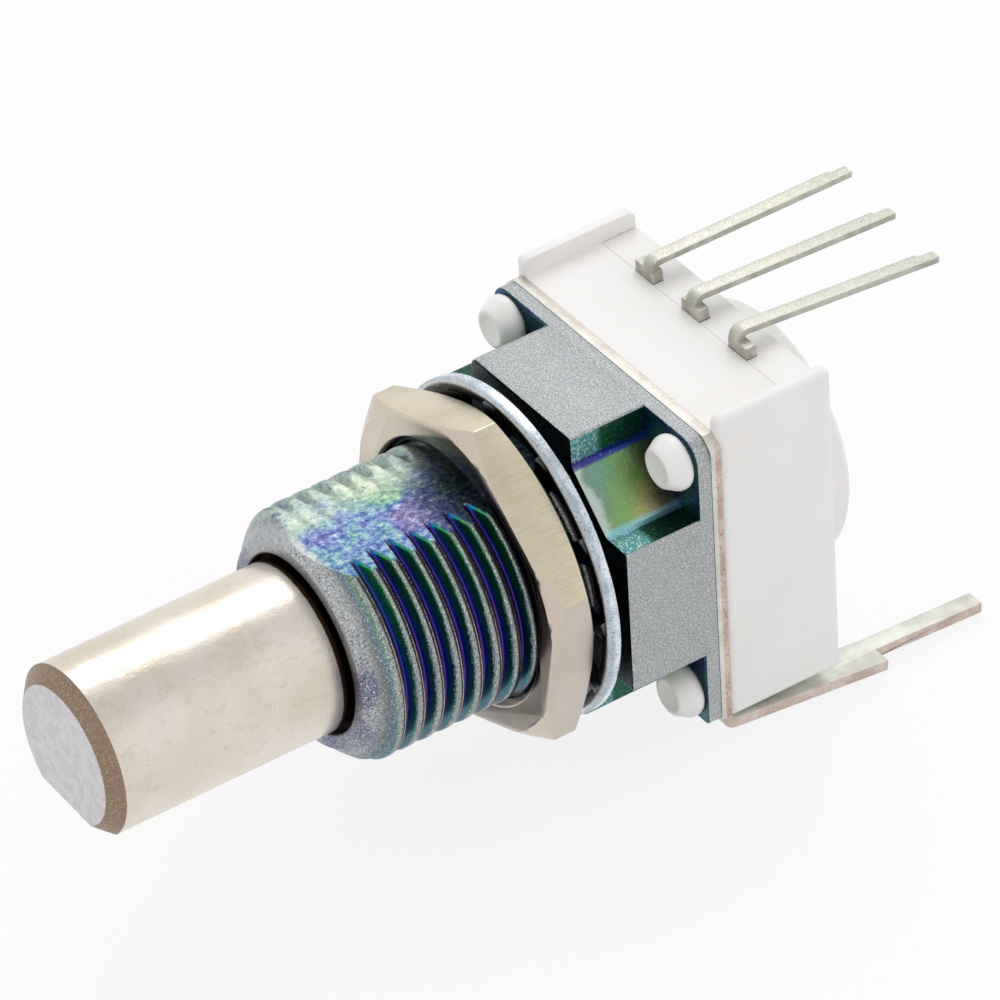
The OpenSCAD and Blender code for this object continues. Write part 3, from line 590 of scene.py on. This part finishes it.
# %% [markdown]
# ## Block and flange
# Behind the bushing the casting is a square block with a pocket at each corner, and a thin flange
# that closes the pockets. Seen from the front the block is a plus sign with slanting inner corners,
# so one outline pushed back makes it. The pockets leave room to stake the housing's four posts.
# The block's upper left corner is rounder than the others in the photograph, so it has its own
# radius.

# %% Block and flange
BODY_HALF, ARM_HALF, WALL_START = 6.1, 3.0, 4.9
FLANGE_FRONT, FLANGE_REAR = 3.08, 3.63
POST_XZ, POST_HOLE_R = 5.0, 0.85
RECESS_R, RECESS_FRONT = 4.175, 1.9


def rod(name, radius, y0, y1, x=0, z=0, steps=96):
    """A round bar along y, round the shaft's axis or at another place."""
    piece = lathe(name, [(0, y0), (radius, y0), (radius, y1), (0, y1)], steps)
    piece.data.transform(Matrix.Translation(Vector((x, 0, z)) * MM))
    return piece


def square(half):
    """The corners of a square round the origin."""
    return [(half, half), (half, -half), (-half, -half), (-half, half)]


corner = [(ARM_HALF, BODY_HALF), (ARM_HALF, WALL_START), (WALL_START, ARM_HALF), (BODY_HALF, ARM_HALF)]
plus = (corner + [(x, -z) for x, z in reversed(corner)]
        + [(-x, -z) for x, z in corner] + [(-x, z) for x, z in reversed(corner)])
corner_radii = [0.12, 0.1, 0.1, 0.12] * 3 + [0.12, 0.1, 0.1, 0.42]
block = prism("block", rounded(plus, corner_radii), 0, FLANGE_FRONT + 0.1)
cut(block,
    rod("bore cutter", BORE_R + 0.02, -1, 2.5),
    rod("recess cutter", RECESS_R, RECESS_FRONT, 5))
soften(block, 0.09)
flange_outline = rounded(square(BODY_HALF), [0.9, 0.25, 0.25, 0.9], 10)
flange = prism("flange", flange_outline, FLANGE_FRONT, FLANGE_REAR)
cut(flange,
    rod("recess cutter", RECESS_R, RECESS_FRONT, 5),
    *[rod("post hole", POST_HOLE_R, 2, 5, x, z, 48)
      for x in (-POST_XZ, POST_XZ) for z in (-POST_XZ, POST_XZ)])
soften(flange, 0.06)
casting = join("casting", thread, block, flange)
print("casting:", len(casting.data.polygons), "faces")

# %% [markdown]
# The block's outer sides look blasted: plain light grey with a sparkle. The pockets and the front
# have the thin coloured skin. Each face gets its finish by where it is and which way it looks.

# %% Casting's finishes
def blasted_zinc():
    f = Finish("blasted_zinc")
    grain = f.noise(0.065, 1, 0.6)
    cloud = f.noise(0.9, 2)
    specks = f.smooth(grain, 0.58, 0.66)
    pits = f.smooth(grain, 0.43, 0.35)
    colour = f.mix(cloud, srgb(166, 169, 170), srgb(180, 183, 184))
    colour = f.mix(specks * 0.6, colour, srgb(228, 231, 234))
    colour = f.mix(pits * 0.7, colour, srgb(128, 133, 138))
    return f.finish(colour, 0.5, 0.7, grain, 0.03)


def corner_line(f, far, near):
    """1 along the edges of the pockets' slanting walls that lie at far and near from the axis."""
    across, up = abs(f.x) - far, abs(f.z) - near
    return f.smooth(across * across + up * up, 0.06, 0.005)


def pocket_skin():
    f = Finish("passivated_pockets")
    front = f.smooth(f.facing_y, -0.7, -0.9)
    slant = f.smooth(abs(f.facing_x), 0.4, 0.6) * f.smooth(abs(f.facing_z), 0.4, 0.6)
    wander, fine = f.noise(0.8, 4, 0.6) - 0.5, f.noise(0.09, 2, 0.65)

    # The slanting walls: the film thickens towards the rear, and painted shade makes them dark furthest
    # back.
    depth = f.y + wander * 1.6 + (fine - 0.5) * 0.4 - (abs(f.z) - 3.6) * 0.9
    slope = film(f, f.ramp(depth / 3.2, (0.02, grey(0.52)), (0.09, grey(0.60)), (0.2, grey(0.68)),
                           (0.5, grey(0.73)), (0.66, grey(0.85)), (0.95, grey(0.9))))
    slope = f.tones(f.y + wander * 0.9, 0.42, 0.16, slope, srgb(196, 210, 222))
    slope = f.mix(0.38, slope, srgb(184, 202, 142))
    # painted shade deep in the pocket, round the post
    slope = f.mix(f.smooth(f.y + wander, 2.1, 2.9) * 0.7, slope, srgb(24, 30, 26))

    # The arms' sides: a pale rough band in front, and deep shade behind it.
    wall = film(f, 0.55 + wander * 0.25 + f.smooth(f.y, 0.9, 1.4) * 0.08)
    pale = f.mix(0.25, wall, srgb(130, 160, 160))
    pale = f.mix(f.smooth(fine, 0.5, 0.6) * 0.6, pale, srgb(196, 214, 214))
    shady = f.mix(0.62 + f.smooth(f.facing_z, 0.6, 0.9) * 0.2, wall, srgb(8, 24, 24))
    wall = f.tones(f.y + (fine - 0.5) * 0.3, 1.0, 1.3, pale, shady)
    colour = f.mix(slant, wall, slope)
    colour = f.mix(corner_line(f, ARM_HALF, WALL_START) * 0.9, colour, film(f, 0.3 + f.y * 0.04))
    colour = f.mix(corner_line(f, WALL_START, ARM_HALF) * 0.6, colour, srgb(150, 214, 232))

    # What faces the front: the block's dark face, and the pockets' floors further back.
    face = f.tones(wander, -0.1, 0.15, srgb(8, 12, 26), srgb(14, 34, 40))
    floor = f.mix(0.55, film(f, 0.5 + wander * 0.7), srgb(10, 22, 30))
    colour = f.mix(front, colour, f.tones(f.y, 1.5, 2.5, face, floor))
    colour = f.mix(f.smooth(fine, 0.6, 0.7) * 0.3, colour, srgb(206, 214, 224))
    return f.finish(colour, 0.34, 0.8, fine, 0.015)


THREAD_SKIN, POCKET_SKIN, BLASTED = range(3)
INSIDE_BORE, PAST_CORNERS = 3.3, 6.5


def finish_of(face):
    """Which of the three finishes a face of the casting has."""
    spot = face.center / MM
    corners = [casting.data.vertices[i].co for i in face.vertices]
    reach = max(Vector((c.x, c.z)).length for c in corners) / MM
    if spot.y < -0.001 or reach < INSIDE_BORE:
        return THREAD_SKIN
    on_side = max(abs(spot.x), abs(spot.z)) > BODY_HALF - 0.05
    on_rounded_corner = spot.y > FLANGE_FRONT + 0.02 and reach > PAST_CORNERS
    looks_sideways = abs(face.normal.y) < 0.9
    return BLASTED if (on_side or on_rounded_corner) and looks_sideways else POCKET_SKIN


for finish in (thread_finish, pocket_skin(), blasted_zinc()):
    casting.data.materials.append(finish)
for face in casting.data.polygons:
    face.material_index = finish_of(face)
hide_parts("front_casting")
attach(casting, "body")
print("casting dressed with", len(casting.data.materials), "finishes")

# %% [markdown]
# ## The shaft
# A bar turned to a quarter inch, with a bevelled tip and a flat milled for a knob's screw. A lathe
# outline gives every groove and shoulder at once, and three cuts give the flats: one for the knob
# and two at the rear that drive the rotor.

# %% Shaft
SHAFT_R, JOURNAL_R, SPIGOT_R = 3.175, 2.975, 1.8
TIP, STEP, SHOULDER, SHAFT_END = -19.05, -9.625, 3.43, 5.45
TIP_BEVEL_DEEP, TIP_BEVEL_LONG = 0.59, 0.47
FLAT_LONG, LEFT_ACROSS_FLAT, DRIVE_HALF = 4.76, 5.3, 1.35
REST_TURN = math.radians(3.5)


def groove(radius, front, rear):
    """The corners of a groove in the journal, turned down to a radius."""
    return [(JOURNAL_R, front), (radius, front), (radius, rear), (JOURNAL_R, rear)]


shaft_outline = [
    (0, TIP), (SHAFT_R - TIP_BEVEL_DEEP, TIP), (SHAFT_R, TIP + TIP_BEVEL_LONG),
    (SHAFT_R, STEP), (JOURNAL_R, STEP),
    *groove(2.075, -6.525, -5.445),  # for the seal
    *groove(2.425, 2.54, 2.98),  # for the retaining ring
    (JOURNAL_R, SHOULDER), (SPIGOT_R, SHOULDER), (SPIGOT_R, SHAFT_END), (0, SHAFT_END)]


def slab(name, low, high):
    """A block between two corners, turned with the shaft's rest position."""
    outline = [(low[0], low[2]), (high[0], low[2]), (high[0], high[2]), (low[0], high[2])]
    piece = prism(name, outline, low[1], high[1])
    piece.data.transform(Matrix.Rotation(REST_TURN, 4, "Y"))
    return piece


shaft = lathe("shaft_turned", shaft_outline, 192)
cut(shaft,
    slab("knob flat", (-4, TIP - 1, -4), (4, TIP + FLAT_LONG, SHAFT_R - LEFT_ACROSS_FLAT)),
    slab("drive flat", (-4, SHOULDER + 0.01, DRIVE_HALF), (4, 6, 4)),
    slab("drive flat", (-4, SHOULDER + 0.01, -4), (4, 6, -DRIVE_HALF)))
soften(shaft, 0.045, 3)
print("shaft:", len(shaft.data.polygons), "faces")


def satin_nickel():
    f = Finish("satin_nickel")
    cloud = f.noise(3.0, 2, 0.5) - 0.5
    patch = f.noise(0.35, 4, 0.65, (1, 0.6, 1), 5)
    grain = f.noise(0.09, 2, 0.6)
    pits = f.smooth(f.noise(0.12, 1, 0.5, shift=9), 0.72, 0.8)
    bevel = f.smooth(f.facing_y, -0.3, -0.5) * f.smooth(f.facing_y, -0.95, -0.85)
    face = f.smooth(f.facing_y, -0.9, -0.98)
    colour = f.tones(cloud, -0.2, 0.2, srgb(216, 205, 188), srgb(226, 218, 208))
    colour = f.mix(f.smooth(patch, 0.52, 0.68) * 0.28, colour, srgb(190, 178, 158))
    colour = f.mix(f.smooth(grain, 0.56, 0.68) * 0.35, colour, srgb(242, 238, 230))
    colour = f.mix(pits * 0.3, colour, srgb(120, 110, 104))
    scratches = f.smooth(f.noise(0.08, 3, 0.7, (1, 0.4, 1)), 0.5, 0.62)
    turned_bevel = f.mix(scratches * 0.7, srgb(140, 120, 102), srgb(178, 156, 132))
    end_face = f.tones(patch, 0.35, 0.65, srgb(202, 200, 202), srgb(216, 214, 215))
    colour = f.mix(face, f.mix(bevel, colour, turned_bevel), end_face)
    # painted shade: the shaft turns dark brown just before its step and along the journal inside the
    # bushing
    colour = f.tones(f.y + (patch - 0.5) * 0.06, STEP - 0.235, STEP - 0.175, colour, srgb(64, 44, 30))
    roughness = 0.3 + face * 0.2 + bevel * 0.1 + cloud * 0.08
    return f.finish(colour, roughness, 1.0, patch * 0.8 + grain * 0.3, 0.014)


coat(shaft, satin_nickel())
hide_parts("shaft")
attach(shaft, "spindle")

# %% [markdown]
# ## The nut
# The hexagon's corners are cut by a cone from each side, which leaves the curved ridges that every
# machined nut has. The CAD node has that shape exactly, so its welded copy is only bevelled.

# %% Nut
def brushed_nickel():
    f = Finish("brushed_nickel")
    lines = f.noise(0.035, 2, 0.7, (1, 0.05, 1))
    long_lines = f.noise(0.14, 2, 0.6, (1, 0.03, 1), 4)
    cloud = f.noise(2.0, 2, 0.5)
    cone = f.smooth(f.facing_y, -0.3, -0.6) * f.smooth(f.facing_y, -0.97, -0.9)
    face = f.smooth(f.facing_y, -0.93, -0.99)
    flats = 1 - f.maths("MAXIMUM", cone, face)
    colour = f.tones(cloud, 0.3, 0.7, srgb(208, 196, 170), srgb(218, 207, 184))
    streaks = (f.smooth(lines, 0.45, 0.3) + f.smooth(long_lines, 0.45, 0.3) * 0.5) * flats
    colour = f.mix(streaks * 0.4, colour, srgb(184, 170, 142))
    colour = f.mix(f.smooth(lines, 0.55, 0.7) * flats * 0.5, colour, srgb(234, 226, 208))
    # painted reflection: faces that look down get a pinker grey
    underside_reflection = f.mix(cloud, srgb(184, 175, 168), srgb(202, 194, 186))
    colour = f.mix(f.smooth(f.facing_z, 0.1, -0.1) * 0.8, colour, underside_reflection)
    colour = f.mix(cone, colour, srgb(202, 188, 174))
    # painted reflection on the front face: dark, lighter on the left and darkest at the upper right
    face_reflection = f.tones(cloud, 0.35, 0.6, srgb(78, 70, 65), srgb(98, 89, 82))
    face_reflection = f.tones(f.x, 0.6, -3.4, face_reflection, srgb(196, 187, 170))
    upper_right = f.smooth(f.x, 1.6, 4.2) * f.smooth(f.z, -2.4, 0.6)
    face_reflection = f.mix(upper_right * 0.8, face_reflection, srgb(44, 40, 40))
    colour = f.mix(face, colour, face_reflection)
    # painted reflection of the dark thread in the nut's countersink
    colour = f.mix(f.beyond(5.08, 5.0), colour, srgb(70, 64, 60))
    return f.finish(colour, 0.16 + flats * 0.14, 1.0, lines * flats, 0.005)


nut = welded_copy("panel_nut", "hex_nut")
soften(nut, 0.05)
coat(nut, brushed_nickel())
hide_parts("hex_nut")
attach(nut, "nut")
print("nut:", len(nut.data.polygons), "faces")

# %% [markdown]
# ## The lock washer
# A stamped rim with twelve teeth inside it, each twisted out of the sheet so that its corners dig
# into the nut and the panel. One tooth is modelled and Geometry Nodes set it round the rim.

# %% Lock washer
WASHER_FRONT, WASHER_REAR, RIM_IN, RIM_OUT = -1.0295, -0.5295, 5.85, 6.35
TEETH, TOOTH_TWIST = 12, math.radians(16)
TOOTH_ROOT, TOOTH_ROOT_HALF, TOOTH_TIP, TOOTH_TIP_HALF = 6.1, 0.65, 4.8625, 0.325


def tooth_tree():
    """Turns a tooth round the axis. The ring is tiny, as the tooth is drawn at its own distance."""
    tree, sizes = new_tree("teeth round a rim", {
        "Tooth": "Object", "Teeth": "Int", "Zinc": "Material"})
    ring = tree.add("GeometryNodeMeshCircle", {}, {
        "Vertices": sizes.out("Teeth"), "Radius": 0.001 * MM})
    tooth = tree.add("GeometryNodeObjectInfo", {}, {"Object": sizes}, out="Geometry")
    step = tree.add("GeometryNodeInputIndex", {}, {}) * (2 * math.pi) / sizes.out("Teeth")
    turned = tree.add("ShaderNodeCombineXYZ", {}, {1: step})
    placed = tree.add("GeometryNodeInstanceOnPoints", {}, {
        "Points": ring, "Instance": tooth, "Rotation": turned})
    end_tree(tree, placed, sizes.out("Zinc"))
    return tree


def zinc_plate():
    f = Finish("bright_zinc")
    grain, cloud = f.noise(0.08, 2, 0.7), f.noise(0.7, 2)
    sheared = f.beyond(6.2129, 6.2929) * f.smooth(f.y + (cloud - 0.5) * 0.3, -0.72, -0.87)
    pits = f.smooth(grain, 0.45, 0.36)
    colour = f.tones(cloud, 0.3, 0.7, srgb(196, 208, 218), srgb(226, 233, 240))
    colour = f.mix(sheared * 0.5, colour, srgb(150, 160, 170))
    colour = f.mix(pits * 0.6, colour, srgb(96, 108, 120))
    # painted shade: the teeth and the rim's inner edge, between nut and block, are nearly black
    colour = f.mix(f.beyond(6.2290, 6.0992) * 0.92, colour, srgb(30, 34, 40))
    return f.finish(colour, 0.22 + sheared * 0.2, 1.0, grain, 0.012)


zinc = zinc_plate()
rim = lathe("washer rim", [tuple(c) for c in rounded(
    [(RIM_IN, WASHER_REAR), (RIM_IN, WASHER_FRONT), (RIM_OUT, WASHER_FRONT), (RIM_OUT, WASHER_REAR)],
    [0.05, 0.05, 0.14, 0.06], 5)], 192)
tooth_flat = [(TOOTH_ROOT, -TOOTH_ROOT_HALF), (TOOTH_ROOT, TOOTH_ROOT_HALF),
              (TOOTH_TIP, TOOTH_TIP_HALF), (TOOTH_TIP, -TOOTH_TIP_HALF)]
sheet_half = (WASHER_REAR - WASHER_FRONT) / 2
tooth = prism("washer tooth", tooth_flat, -sheet_half, sheet_half)
tooth.data.transform(Matrix.Translation((0, (WASHER_FRONT + WASHER_REAR) / 2 * MM, 0))
                     @ Matrix.Rotation(TOOTH_TWIST, 4, "X"))
soften(tooth, 0.04)
teeth = grow("washer teeth", tooth_tree(), {"Tooth": tooth, "Teeth": TEETH, "Zinc": zinc})
bpy.data.objects.remove(tooth)
washer = join("washer_zinc", rim, teeth)
shade(washer)
washer.data.materials.append(zinc)
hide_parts("lock_washer")
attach(washer, "washer")
print("washer:", len(washer.data.polygons), "faces")

# %% [markdown]
# ## Grounding bracket
# Tinned copper sheet, sheared to its outline after tinning, so its faces are pale and its edges
# show the copper. The finish tells them apart by which way a face looks.

# %% Bracket
LEG_TOP, SHEET_MIDDLE = -6.1, 3.81


def tinned_copper():
    f = Finish("tinned_copper")
    cloud, grain = f.noise(0.9, 3, 0.6), f.noise(0.08, 2, 0.6)
    plate_edge = 1 - f.smooth(abs(f.facing_y), 0.5, 0.8)
    plate_edge = plate_edge * f.smooth(f.z, LEG_TOP - 0.05, LEG_TOP + 0.05)
    leg_edge = f.smooth(abs(f.facing_x), 0.6, 0.85) * f.smooth(f.z, LEG_TOP + 0.05, LEG_TOP - 0.05)
    torn = (grain - 0.5) * 0.12
    rear_half = f.smooth(f.y + torn, SHEET_MIDDLE - 0.03, SHEET_MIDDLE + 0.03)
    bare_plate = plate_edge * rear_half * (1 - f.smooth(f.facing_z, 0.5, 0.7) * 0.6)
    bare_leg = leg_edge * (0.6 + f.smooth(grain, 0.45, 0.55) * 0.4)
    tin = f.tones(cloud, 0.35, 0.65, srgb(204, 204, 196), srgb(222, 222, 214))
    copper = f.tones(cloud, 0.35, 0.65, srgb(196, 172, 160), srgb(216, 198, 188))
    copper = f.mix(f.smooth(grain, 0.47, 0.38) * 0.6, copper, srgb(128, 96, 84))
    colour = f.mix(f.maths("MAXIMUM", bare_plate, bare_leg), tin, copper)
    return f.finish(colour, 0.5, 0.8, grain, 0.012)


bracket = welded_copy("bracket_tinned", "grounding_bracket")
soften(bracket, 0.03)
coat(bracket, tinned_copper())
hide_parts("grounding_bracket")
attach(bracket, "body")
print("bracket:", len(bracket.data.polygons), "faces")

# %% [markdown]
# ## Terminals
# Three blades stand up out of the seam, each with a thin pin bent back from it. The CAD nodes have
# their shapes, so bevelled copies of them share one dull tin finish, with painted light making it
# brighter where it faces up.

# %% Terminals
def tin_plate():
    f = Finish("tin_plate")
    cloud, grain = f.noise(0.6, 3, 0.6), f.noise(0.06, 2, 0.6)
    # painted light: faces that look up are paler
    up = f.smooth(f.facing_z, 0.6, 0.9)
    colour = f.tones(cloud, 0.35, 0.65, srgb(172, 171, 160), srgb(196, 195, 185))
    lit = f.tones(grain, 0.4, 0.6, srgb(196, 196, 184), srgb(224, 223, 213))
    colour = f.mix(up * 0.8, colour, lit)
    return f.finish(colour, 0.5, 0.9, grain, 0.012)


tin = tin_plate()
for side in ("left", "middle", "right"):
    pin = welded_copy("pin_" + side, "terminal_" + side)
    soften(pin, 0.025)
    coat(pin, tin)
    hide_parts("terminal_" + side)
    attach(pin, "body")
print("three terminals")

# %% [markdown]
# ## Housing and cover
# Both are moulded in a white plastic. Moulded edges are rounder than machined ones, so the copies
# of the CAD nodes get a wider bevel. The copy of the housing loses its plain posts to a cutter,
# because finished ones follow.

# %% Housing
def white_plastic():
    f = Finish("white_plastic")
    cloud, grain = f.noise(3.0, 2), f.noise(0.12, 2, 0.6)
    colour = f.mix(cloud, srgb(238, 235, 232), srgb(245, 243, 242))
    return f.finish(colour, 0.42, 0.0, grain, 0.004)


plastic = white_plastic()


def plastic_copy(name, node, width, *cutters):
    piece = welded_copy(name, node)
    cut(piece, *cutters)
    soften(piece, width)
    coat(piece, plastic)
    return piece


housing = plastic_copy("housing box", "housing", 0.07, prism("post cutter", square(7), 1, 3.5))
cover = plastic_copy("cover_moulded", "rear_cover", 0.08)
print("housing and cover:", len(housing.data.polygons) + len(cover.data.polygons), "faces")

# %% [markdown]
# ## Staked posts
# The housing's four posts come through the flange and were formed over it with a warm punch, which
# left a blunt cone with a slightly dished tip. One is turned on the lathe, and Geometry Nodes set
# it on the corners of a square.

# %% Posts
POST_OUTLINE = [
    (0, 2.24), (0.3, 2.23), (0.5, 2.18), (0.58, 2.13), (0.66, 2.13), (0.74, 2.17),
    (0.82, 2.3), (0.98, 2.58), (1.02, 2.68), (1.03, 2.8), (1.01, 2.93), (0.95, 3.02),
    (0.8, 3.075), (0.8, 3.6), (0, 3.6)]


def post_tree():
    tree, sizes = new_tree("posts on a square", {
        "Post": "Object", "Spacing": "Float", "Plastic": "Material"})
    spacing = sizes.out("Spacing")
    corners = tree.add("GeometryNodeMeshGrid", {}, {
        "Size X": spacing, "Size Y": spacing, "Vertices X": 2, "Vertices Y": 2})
    upright = tree.add("GeometryNodeTransform", {}, {
        "Geometry": corners, "Rotation": (math.pi / 2, 0, 0)})
    post = tree.add("GeometryNodeObjectInfo", {}, {"Object": sizes}, out="Geometry")
    placed = tree.add("GeometryNodeInstanceOnPoints", {}, {"Points": upright, "Instance": post})
    end_tree(tree, placed, sizes.out("Plastic"))
    return tree


post = lathe("post", POST_OUTLINE, 64)
posts = grow("posts", post_tree(), {"Post": post, "Spacing": 2 * POST_XZ * MM, "Plastic": plastic})
bpy.data.objects.remove(post)
housing = join("housing_moulded", housing, posts)
housing.data.materials.append(plastic)
shade(housing)
for piece, node in ((housing, "housing"), (cover, "rear_cover")):
    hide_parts(node)
    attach(piece, "body")
print("housing with its posts:", len(housing.data.polygons), "faces")

# %% [markdown]
# ## The pieces inside
# They are seen only when the housing is taken apart, but each has its own finish. Their CAD nodes
# stay as they are, so the finish is simply assigned to each node's material slot.

# %% Inner finishes
def plain_finish(name, low, high, roughness, metallic, grain):
    """Two tones of 0 to 255 in clouds, with grains of about that many millimetres."""
    f = Finish(name)
    cloud = f.noise(grain, 3, 0.6)
    colour = f.tones(cloud, 0.35, 0.65, srgb(*low), srgb(*high))
    return f.finish(colour, roughness + (cloud - 0.5) * 0.1, metallic, cloud, 0.005)


INNER_FINISHES = {
    "element_board": ("fired_board", (214, 214, 204), (232, 232, 224), 0.6, 0.0, 0.3),
    "resistive_track": ("carbon_ink", (38, 38, 42), (58, 58, 62), 0.5, 0.0, 0.1),
    "collector_track": ("silver_ink", (196, 196, 192), (220, 220, 216), 0.4, 0.8, 0.1),
    "rotor": ("rotor_plastic", (50, 54, 58), (70, 74, 78), 0.5, 0.0, 0.4),
    "wiper": ("spring_strip", (206, 178, 110), (228, 204, 140), 0.3, 1.0, 0.3),
    "retaining_ring": ("phosphated_steel", (84, 82, 80), (108, 106, 102), 0.45, 0.9, 0.2),
    "spring_washer": ("spring_bronze", (196, 160, 100), (220, 186, 124), 0.3, 1.0, 0.4),
    "thrust_washer": ("plain_bronze", (176, 134, 82), (202, 160, 104), 0.35, 1.0, 0.4),
    "shaft_seal": ("seal_rubber", (34, 34, 34), (52, 52, 52), 0.6, 0.0, 0.2),
}
inner = {node: plain_finish(*values) for node, values in INNER_FINISHES.items()}
inner["terminal_rivets"] = tin
for node, material in inner.items():
    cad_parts[node].material_slots[0].material = material
print("inner pieces finished:", len(inner))

# %% [markdown]
# ## Floor, lamps and world
# A white floor and a white world, with one broad lamp above, as on a photographer's table. Light
# paths tell what a ray is for: to the camera and in reflections the floor and the world are white
# or nearly so, and as light on the piece they are gentler. High up, reflections see a dimmer world.

# %% Studio
FLOOR_Z, FLOOR_HALF, FLOOR_GLOW = -7.8, 2000, 0.82
WORLD_LIGHT, DIM_ABOVE = 0.85, 0.26


def ray_kinds(tree):
    """1 for rays from the camera, and 1 for rays from a shiny or clear surface."""
    path = tree.add("ShaderNodeLightPath", {}, {})
    reflected = tree.maths("MAXIMUM", path.out("Is Glossy Ray"), path.out("Is Transmission Ray"))
    return path.out("Is Camera Ray"), reflected


def stage_white():
    material = bpy.data.materials.new("studio_white")
    material.use_nodes = True
    tree = Tree(material.node_tree)
    tree.tree.nodes.clear()
    from_camera, reflected = ray_kinds(tree)
    paper = tree.add("ShaderNodeBsdfDiffuse", {}, {"Color": (0.9, 0.9, 0.9)})
    glow = tree.add("ShaderNodeEmission", {}, {"Color": (1, 1, 1), "Strength": 1})
    share = tree.maths("MAXIMUM", from_camera * FLOOR_GLOW, reflected)
    surface = tree.add("ShaderNodeMixShader", {}, {0: share, 1: paper, 2: glow})
    tree.add("ShaderNodeOutputMaterial", {}, {"Surface": surface})
    return material


floor = new_piece("floor", [(x, y, FLOOR_Z) for x, y in reversed(square(FLOOR_HALF))], [(0, 1, 2, 3)])
floor.data.materials.append(stage_white())

world = bpy.data.worlds.new("studio")
bpy.context.scene.world = world
world.use_nodes = True
sky = Tree(world.node_tree)
sky.tree.nodes.clear()
from_camera, reflected = ray_kinds(sky)
way = sky.add("ShaderNodeTexCoord", {}, {}, out="Generated")
height = sky.add("ShaderNodeSeparateXYZ", {}, {0: way}, out="Z")
dimmed = DIM_ABOVE * sky.smooth(height, 0.5, 0.95)
level = (WORLD_LIGHT + from_camera * (1 - WORLD_LIGHT)
         + reflected * (1 - WORLD_LIGHT - dimmed))
background = sky.add("ShaderNodeBackground", {}, {"Color": (1, 1, 1), "Strength": level})
sky.add("ShaderNodeOutputWorld", {}, {"Surface": background})


def soft_lamp(name, spot, size, power):
    """A round lamp that looks at the origin. Its spot and size are in metres, its power in watts."""
    lamp = bpy.data.objects.new(name, bpy.data.lights.new(name, "AREA"))
    lamp.data.shape, lamp.data.size, lamp.data.energy = "DISK", size, power
    lamp.location = spot
    lamp.rotation_mode = "QUATERNION"
    lamp.rotation_quaternion = Vector(spot).to_track_quat("Z", "Y")
    bpy.context.scene.collection.objects.link(lamp)


soft_lamp("overhead", (-0.19, 0.14, 0.29), 0.25, 0.3)
bpy.context.scene.view_settings.view_transform = "Standard"
print("studio ready")
